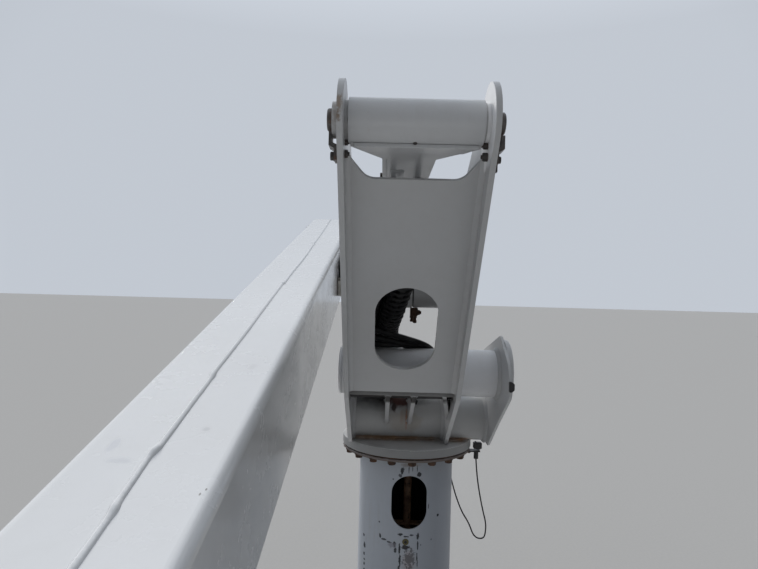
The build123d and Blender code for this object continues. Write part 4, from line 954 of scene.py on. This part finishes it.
def on_boom(s, x, v):
    return Vector((x, REF_Y, REF_Z)) + ALONG * s + OUTW * v


bm = bmesh.new()
SEAM = [(-300, -539), (-138, -539), (700, -529), (1365, -524), (2074, -531), (2867, -529.4), (3223, -529.5), (3394, -523.5),
        (3520, -520.9), (4300, -522)]
LUMPS = [(2867, 2.0), (3223, -2.5), (3394, 2.5), (1900, -2.0), (900, 2.0), (3700, -2.0)]
rings, slow, side = [], 1.0, 0.0
s = -236.0
while s < 4250:
    side += -side * 0.02 + rnd.uniform(-0.14, 0.14)
    slow += (1 - slow) * 0.06 + rnd.uniform(-0.02, 0.02)
    w = 7.4 * slow * (1 + 0.015 * math.sin(s * 2 * math.pi / 12.75))
    h = 5.0 * slow * (1 + 0.025 * math.sin(s * 2 * math.pi / 12.75 + 0.6))
    for (s0, x0), (s1, x1) in zip(SEAM, SEAM[1:]):
        if s0 <= s <= s1:
            f = (s - s0) / (s1 - s0)
            way = x0 + (x1 - x0) * f * f * (3 - 2 * f)
    for s0, jog in LUMPS:
        b = math.exp(-((s - s0) / 16.0) ** 2)
        w, h = w * (1 + 0.28 * b), h * (1 + 0.55 * b)
        way += jog * math.tanh((s - s0) / 14.0) * math.exp(-abs(s - s0) / 160.0)
    c = on_boom(s, way + side + 0.5 * math.sin(s / 95.0), UBH / 2)
    rings.append([c - X * w - OUTW * 1.2, c - X * w * 0.86 + OUTW * h * 0.40, c - X * w * 0.50 + OUTW * h * 0.86,
                  c - X * w * 0.12 + OUTW * h, c + X * w * 0.36 + OUTW * h * 0.74, c + X * w * 0.74 + OUTW * h * 0.34,
                  c + X * w - OUTW * 1.2, c - OUTW * 2.0])
    s += 4.25
skin(bm, rings)
piece("boom_seam", bm, white_boom, "upper_boom", angle=60)

bm = bmesh.new()
for x, q in ((UBX0, -1), (UBX1, 1)):
    bead(bm, [on_boom(4260, x, -150), on_boom(4260, x, 150)], X * q, -ALONG, 8, rnd)
for v, q in ((-UBH / 2, -1), (UBH / 2, 1)):
    bead(bm, [on_boom(4260, UBX0 + 30, v), on_boom(4260, UBX1 - 30, v)], OUTW * q, -ALONG, 8, rnd)
piece("collar_welds", bm, white_boom, "upper_boom")

bm = bmesh.new()
for x, q in ((UBX0 - 12, -1), (UBX1 + 12, 1)):
    for v in (-55, 55):
        hexa(bm, on_boom(4335, x, v), X * q, 26, 5, 0.2)
        lathe(bm, [(0, 5), (7, 5), (7, 9), (0, 9)], on_boom(4335, x, v), X * q, 14)
for v, q in ((UBH / 2 + 12, 1), (-UBH / 2 - 12, -1)):
    for x in (-567, -487):
        hexa(bm, on_boom(4335, x, v), OUTW * q, 26, 10, 0.2)
        lathe(bm, [(0, 10), (7, 10), (7, 20), (0, 20)], on_boom(4335, x, v), OUTW * q, 14)
piece("pad_screws", bm, zinc, "upper_boom")

# hydraulic lines and their block on the right-hand face of the upper boom
bm = bmesh.new()
block(bm, on_boom(1000, UBX1 + 13, -40), (26, 150, 90), axes=(X, ALONG, OUTW), bevel=4)
for s0 in (955, 1000, 1045):
    hexa(bm, on_boom(s0, UBX1 + 13, 5), OUTW, 19, 12, 0.3)
    hexa(bm, on_boom(s0, UBX1 + 26, -40), X, 17, 7, 0.3)
piece("boom_block", bm, zinc, "upper_boom")
bm = bmesh.new()
for k, v in enumerate((20, 42, 64)):
    s0 = (955, 1000, 1045)[k]
    pts = chaikin([on_boom(s0, UBX1 + 13, 14), on_boom(s0, UBX1 + 13, v + 12), on_boom(s0 - 50, UBX1 + 12, v + 26),
                   on_boom(600, UBX1 + 11, v + 22), on_boom(350, UBX1 + 11, v + 20), on_boom(170, UBX1 + 11, v + 10),
                   on_boom(120, UBX1 + 9, v + 5), on_boom(112, UBX1 - 6, v + 4)], 4)
    tube(bm, resample(pts, 9), 8.5, 12)
piece("boom_lines", bm, hose_mat, "upper_boom", angle=60)
bm = bmesh.new()
for s0 in (300, 520, 760):
    block(bm, on_boom(s0, UBX1 + 11, 63), (24, 26, 92), axes=(X, ALONG, OUTW), bevel=3)
    bolt(bm, on_boom(s0, UBX1 + 23, 63), X, 6, rnd)
piece("line_clamps", bm, white_boom, "upper_boom")

# ---------------------------------------------------------------------------
# Platform
# ---------------------------------------------------------------------------
SY, SZ = -3270.7121, 630.2887
BX0, BW, BL, BH, BZ0 = -290.0, 610.0, 762.0, 1067.0, 120.0
BXC = BX0 + BW / 2
LIP_Z = BZ0 + BH


def rounded(w, l, r, per_side=14, per_corner=10):
    """Points and outward directions round a rounded rectangle, counter-clockwise."""
    out = []
    hw, hl = w / 2, l / 2
    for cx, cy, a0 in ((hw - r, hl - r, 0), (-hw + r, hl - r, 90), (-hw + r, -hl + r, 180), (hw - r, -hl + r, 270)):
        for k in range(per_corner):
            a = math.radians(a0 + 90 * k / (per_corner - 1))
            out.append((cx + r * math.cos(a), cy + r * math.sin(a), math.cos(a), math.sin(a)))
        nx = {0: (-hw + r, hl), 90: (-hw, -hl + r), 180: (hw - r, -hl), 270: (hw, hl - r)}[a0]
        x0, y0, c, s_ = out[-1]
        for k in range(1, per_side):
            t = k / per_side
            out.append((x0 + (nx[0] - x0) * t, y0 + (nx[1] - y0) * t, c, s_))
    return out


def ledge(t, a, b, f):
    """0 outside a..b, 1 inside, with soft flanks f wide."""
    k = min((t - a) / f, (b - t) / f)
    k = max(0.0, min(1.0, k))
    return k * k * (3 - 2 * k)


bm = bmesh.new()
base = rounded(BW, BL, 90, 56, 9)
outer_z = [0, 3, 10, 24, 60, 90, 100, 110, 130, 250, 400, 550, 700, 850, 930, 945, 958, 975, 1000, 1030, 1050, 1064]
rings = []
for z in outer_z:
    taper = 12.0 * (1 - z / BH)
    foot = 12.0 * (1 - min(1, z / 24.0)) ** 2
    ring = []
    for x, y, nx, ny in base:
        t = y if abs(nx) > 0.5 else x
        span_ = BL if abs(nx) > 0.5 else BW
        flat = abs(nx) > 0.99 or abs(ny) > 0.99
        rib = 0.0
        if flat:
            centres = (-190, 0, 190) if span_ == BL else (-120, 120)
            rib = max(ledge(t, c - 48, c + 48, 16) for c in centres) * ledge(z, 96, 962, 20)
        d = -1.0 - taper - foot - 7.0 * rib
        ring.append(Vector((BXC + x + nx * d, SY + y + ny * d, BZ0 + z)))
    rings.append(ring)
inner = rounded(BW, BL, 90, 56, 9)
for z in (1066, 1050, 900, 500, 100, 30, 14, 9):
    taper = 12.0 * (1 - z / BH)
    r0 = 20.0 * (1 - min(1, max(0.0, z - 9) / 30.0)) ** 2
    rings.append([Vector((BXC + x - nx * (14 + taper + r0), SY + y - ny * (14 + taper + r0), BZ0 + z))
                  for x, y, nx, ny in inner])
skin(bm, rings)
piece("bucket_shell", bm, gelcoat, "platform", replaces=("bucket",), angle=40)

bm = bmesh.new()
lip = rounded(BW, BL, 90, 14, 12)
prof = [(-13, 0), (-13, 14), (-9, 20), (-2, 22), (12, 22), (20, 19.5), (24.5, 13), (25, 5), (25, -22), (23, -24.5),
        (20.5, -22), (20, 2), (14, 8), (4, 9), (-0.5, 5), (-1, 0)]
rings = []
for x, y, nx, ny in lip:
    rings.append([Vector((BXC + x + nx * d, SY + y + ny * d, LIP_Z + h)) for d, h in prof])
skin(bm, rings, closed=True)
piece("bucket_rim", bm, gelcoat, "platform", replaces=("bucket_lip",), angle=50)

# step let into the outer wall and grab rail inside
bm = bmesh.new()
for y in (-300, 0, 300):
    lathe(bm, [(0, 0), (15, 0), (16, 2), (15, 5), (0, 5)], (BX0 + BW - 21, SY + y * 0.6, 1120), -X, 20)
pts = chaikin([(BX0 + BW - 25, SY - 180, 1120), (BX0 + BW - 70, SY - 180, 1120), (BX0 + BW - 72, SY - 150, 1120),
               (BX0 + BW - 72, SY + 150, 1120), (BX0 + BW - 70, SY + 180, 1120), (BX0 + BW - 25, SY + 180, 1120)], 3)
tube(bm, resample(pts, 8), 11, 16)
piece("grab_rail", bm, grey_paint, "platform")

bm = bmesh.new()
for dy in (-170, 170):
    for dz in (-250, -90, 60, 180):
        bolt(bm, (BX0 - 20, SY + dy, SZ - 40 + dz), -X, 9.5, rnd)
ring_bead(bm, (BX0 - 20, SY, SZ), -X, 55, 8, rnd)
piece("bracket_bolts", bm, zinc, "platform")

# control console
CZ = LIP_Z + 22 + 130
bm = bmesh.new()
block(bm, (BX0 + 25, SY + 172, CZ + 2), (140, 210, 5), bevel=1.5)
piece("console_panel", bm, dark_steel, "platform")
bm = bmesh.new()
for dy in (110.0, 150.0, 190.0, 230.0):
    c = (BX0 + 30, SY + dy, CZ + 4)
    lathe(bm, [(0, 0), (17, 0), (17, 3), (15, 4.5), (15.5, 7), (12.5, 9), (13, 12), (10, 14), (10.5, 17), (7.5, 19),
               (6, 22), (5, 23), (5, 56), (6, 60), (9.5, 63), (12, 69), (12, 74), (9.5, 79), (5, 82), (0, 82.3)],
          c, Z, 20)
piece("lever_knobs", bm, lever_mat, "platform", replaces=("control_levers",), angle=50)
bm = bmesh.new()
lathe(bm, [(0, 0), (15, 0), (15, 9), (8, 10), (8, 16), (19, 18), (20, 23), (17, 28), (8, 31), (0, 31.5)],
      (BX0 - 30, SY + 100, CZ), Z, 28)
piece("stop_button", bm, stop_red, "platform")
bm = bmesh.new()
for dx, dy in ((-37, 74), (87, 74), (-37, 270), (87, 270)):
    lathe(bm, [(0, 0), (5, 0), (4.6, 2.2), (2.5, 3.4), (0, 3.6)], (BX0 + dx, SY + dy, CZ + 4), Z, 14)
for dy in (150, 190, 230):
    lathe(bm, [(0, 0), (7, 0), (7, 4), (3, 5), (2.4, 18), (3.2, 21), (0, 22)], (BX0 - 20, SY + dy, CZ + 4), (0.2, 0, 1), 12)
piece("console_screws", bm, zinc, "platform")

# ---------------------------------------------------------------------------
# Floor and light
# ---------------------------------------------------------------------------
floor_mesh = bpy.data.meshes.new("floor")
bm = bmesh.new()
bmesh.ops.create_grid(bm, x_segments=1, y_segments=1, size=60.0)
bmesh.ops.translate(bm, verts=bm.verts, vec=(0, 0, -0.0005))
bm.to_mesh(floor_mesh)
bm.free()
floor = bpy.data.objects.new("floor", floor_mesh)
scene.collection.objects.link(floor)
g = Mat("floor")
floor_mesh.materials.append(g.done(
    g.mix(g.span(g.noise(60, 3, 0.6), 0.3, 0.7), (0.368, 0.364, 0.356), (0.386, 0.382, 0.373)),
    g.span(g.noise(50, 4, 0.6), 0.3, 0.7, 0.85, 0.95)))

world = bpy.data.worlds.new("world")
scene.world = world
world.use_nodes = True
wt = world.node_tree
wb = wt.nodes["Background"]
tc = wt.nodes.new("ShaderNodeTexCoord")
sx = wt.nodes.new("ShaderNodeSeparateXYZ")
wt.links.new(tc.outputs["Generated"], sx.inputs[0])
mr = wt.nodes.new("ShaderNodeMapRange")
mr.inputs["From Min"].default_value = -0.6
mr.inputs["From Max"].default_value = 0.8
wt.links.new(sx.outputs["Y"], mr.inputs["Value"])
cr = wt.nodes.new("ShaderNodeMix")
cr.data_type = "RGBA"
cr.inputs[6].default_value = (0.085, 0.094, 0.108, 1)
cr.inputs[7].default_value = (0.54, 0.58, 0.64, 1)
wt.links.new(mr.outputs["Result"], cr.inputs[0])
lift = wt.nodes.new("ShaderNodeMapRange")
lift.inputs["From Min"].default_value = 0.40
lift.inputs["From Max"].default_value = 1.0
lift.inputs["To Min"].default_value = 1.0
lift.inputs["To Max"].default_value = 2.1
wt.links.new(sx.outputs["Z"], lift.inputs["Value"])
sky = wt.nodes.new("ShaderNodeVectorMath")
sky.operation = "SCALE"
wt.links.new(cr.outputs[2], sky.inputs[0])
wt.links.new(lift.outputs["Result"], sky.inputs["Scale"])
rear = wt.nodes.new("ShaderNodeMapRange")          # more light from above, behind the camera
rear.inputs["From Min"].default_value = 0.2
rear.inputs["From Max"].default_value = -0.3
rear.inputs["To Max"].default_value = 0.20
wt.links.new(sx.outputs["Y"], rear.inputs["Value"])
high = wt.nodes.new("ShaderNodeMapRange")
high.inputs["From Min"].default_value = 0.08
high.inputs["From Max"].default_value = 0.65
wt.links.new(sx.outputs["Z"], high.inputs["Value"])
wt.links.new(rear.outputs["Result"], high.inputs["To Max"])
tint = wt.nodes.new("ShaderNodeCombineXYZ")
for socket in ("X", "Y", "Z"):
    wt.links.new(high.outputs["Result"], tint.inputs[socket])
both = wt.nodes.new("ShaderNodeVectorMath")
both.operation = "ADD"
wt.links.new(sky.outputs[0], both.inputs[0])
wt.links.new(tint.outputs[0], both.inputs[1])
flank = wt.nodes.new("ShaderNodeMapRange")         # darker on the right, outside the view
flank.inputs["From Min"].default_value = 0.55
flank.inputs["From Max"].default_value = 0.95
flank.inputs["To Min"].default_value = 1.0
flank.inputs["To Max"].default_value = 0.40
wt.links.new(sx.outputs["X"], flank.inputs["Value"])
near = wt.nodes.new("ShaderNodeMapRange")          # and lighter on the left
near.inputs["From Min"].default_value = -0.55
near.inputs["From Max"].default_value = -0.95
near.inputs["To Min"].default_value = 1.0
near.inputs["To Max"].default_value = 1.45
wt.links.new(sx.outputs["X"], near.inputs["Value"])
sides = wt.nodes.new("ShaderNodeVectorMath")
sides.operation = "SCALE"
wt.links.new(both.outputs[0], sides.inputs[0])
wt.links.new(flank.outputs["Result"], sides.inputs["Scale"])
sides2 = wt.nodes.new("ShaderNodeVectorMath")
sides2.operation = "SCALE"
wt.links.new(sides.outputs[0], sides2.inputs[0])
wt.links.new(near.outputs["Result"], sides2.inputs["Scale"])
wt.links.new(sides2.outputs[0], wb.inputs["Color"])
wb.inputs["Strength"].default_value = 1.0


def area(name, loc, target, size, power, color):
    data = bpy.data.lights.new(name, "AREA")
    data.shape = "RECTANGLE"
    data.size, data.size_y = size
    data.energy = power
    data.color = color
    ob = bpy.data.objects.new(name, data)
    scene.collection.objects.link(ob)
    ob.location = loc
    ob.rotation_mode = "QUATERNION"
    ob.rotation_quaternion = (Vector(target) - Vector(loc)).to_track_quat("-Z", "Y")
    return ob


sun_data = bpy.data.lights.new("key", "SUN")
sun_data.energy = 3.3
sun_data.angle = math.radians(15)
sun_data.color = (1.0, 0.975, 0.94)
sun = bpy.data.objects.new("key", sun_data)
scene.collection.objects.link(sun)
sun.rotation_mode = "QUATERNION"
sun.visible_glossy = False
sun.rotation_quaternion = Vector((0.39, -0.77, -0.50)).to_track_quat("-Z", "Y")
area("fill", (4.5, -7.5, 3.0), (0, 0, 1.2), (6, 4), 10, (0.90, 0.94, 1.0))

scene.view_settings.view_transform = "Standard"
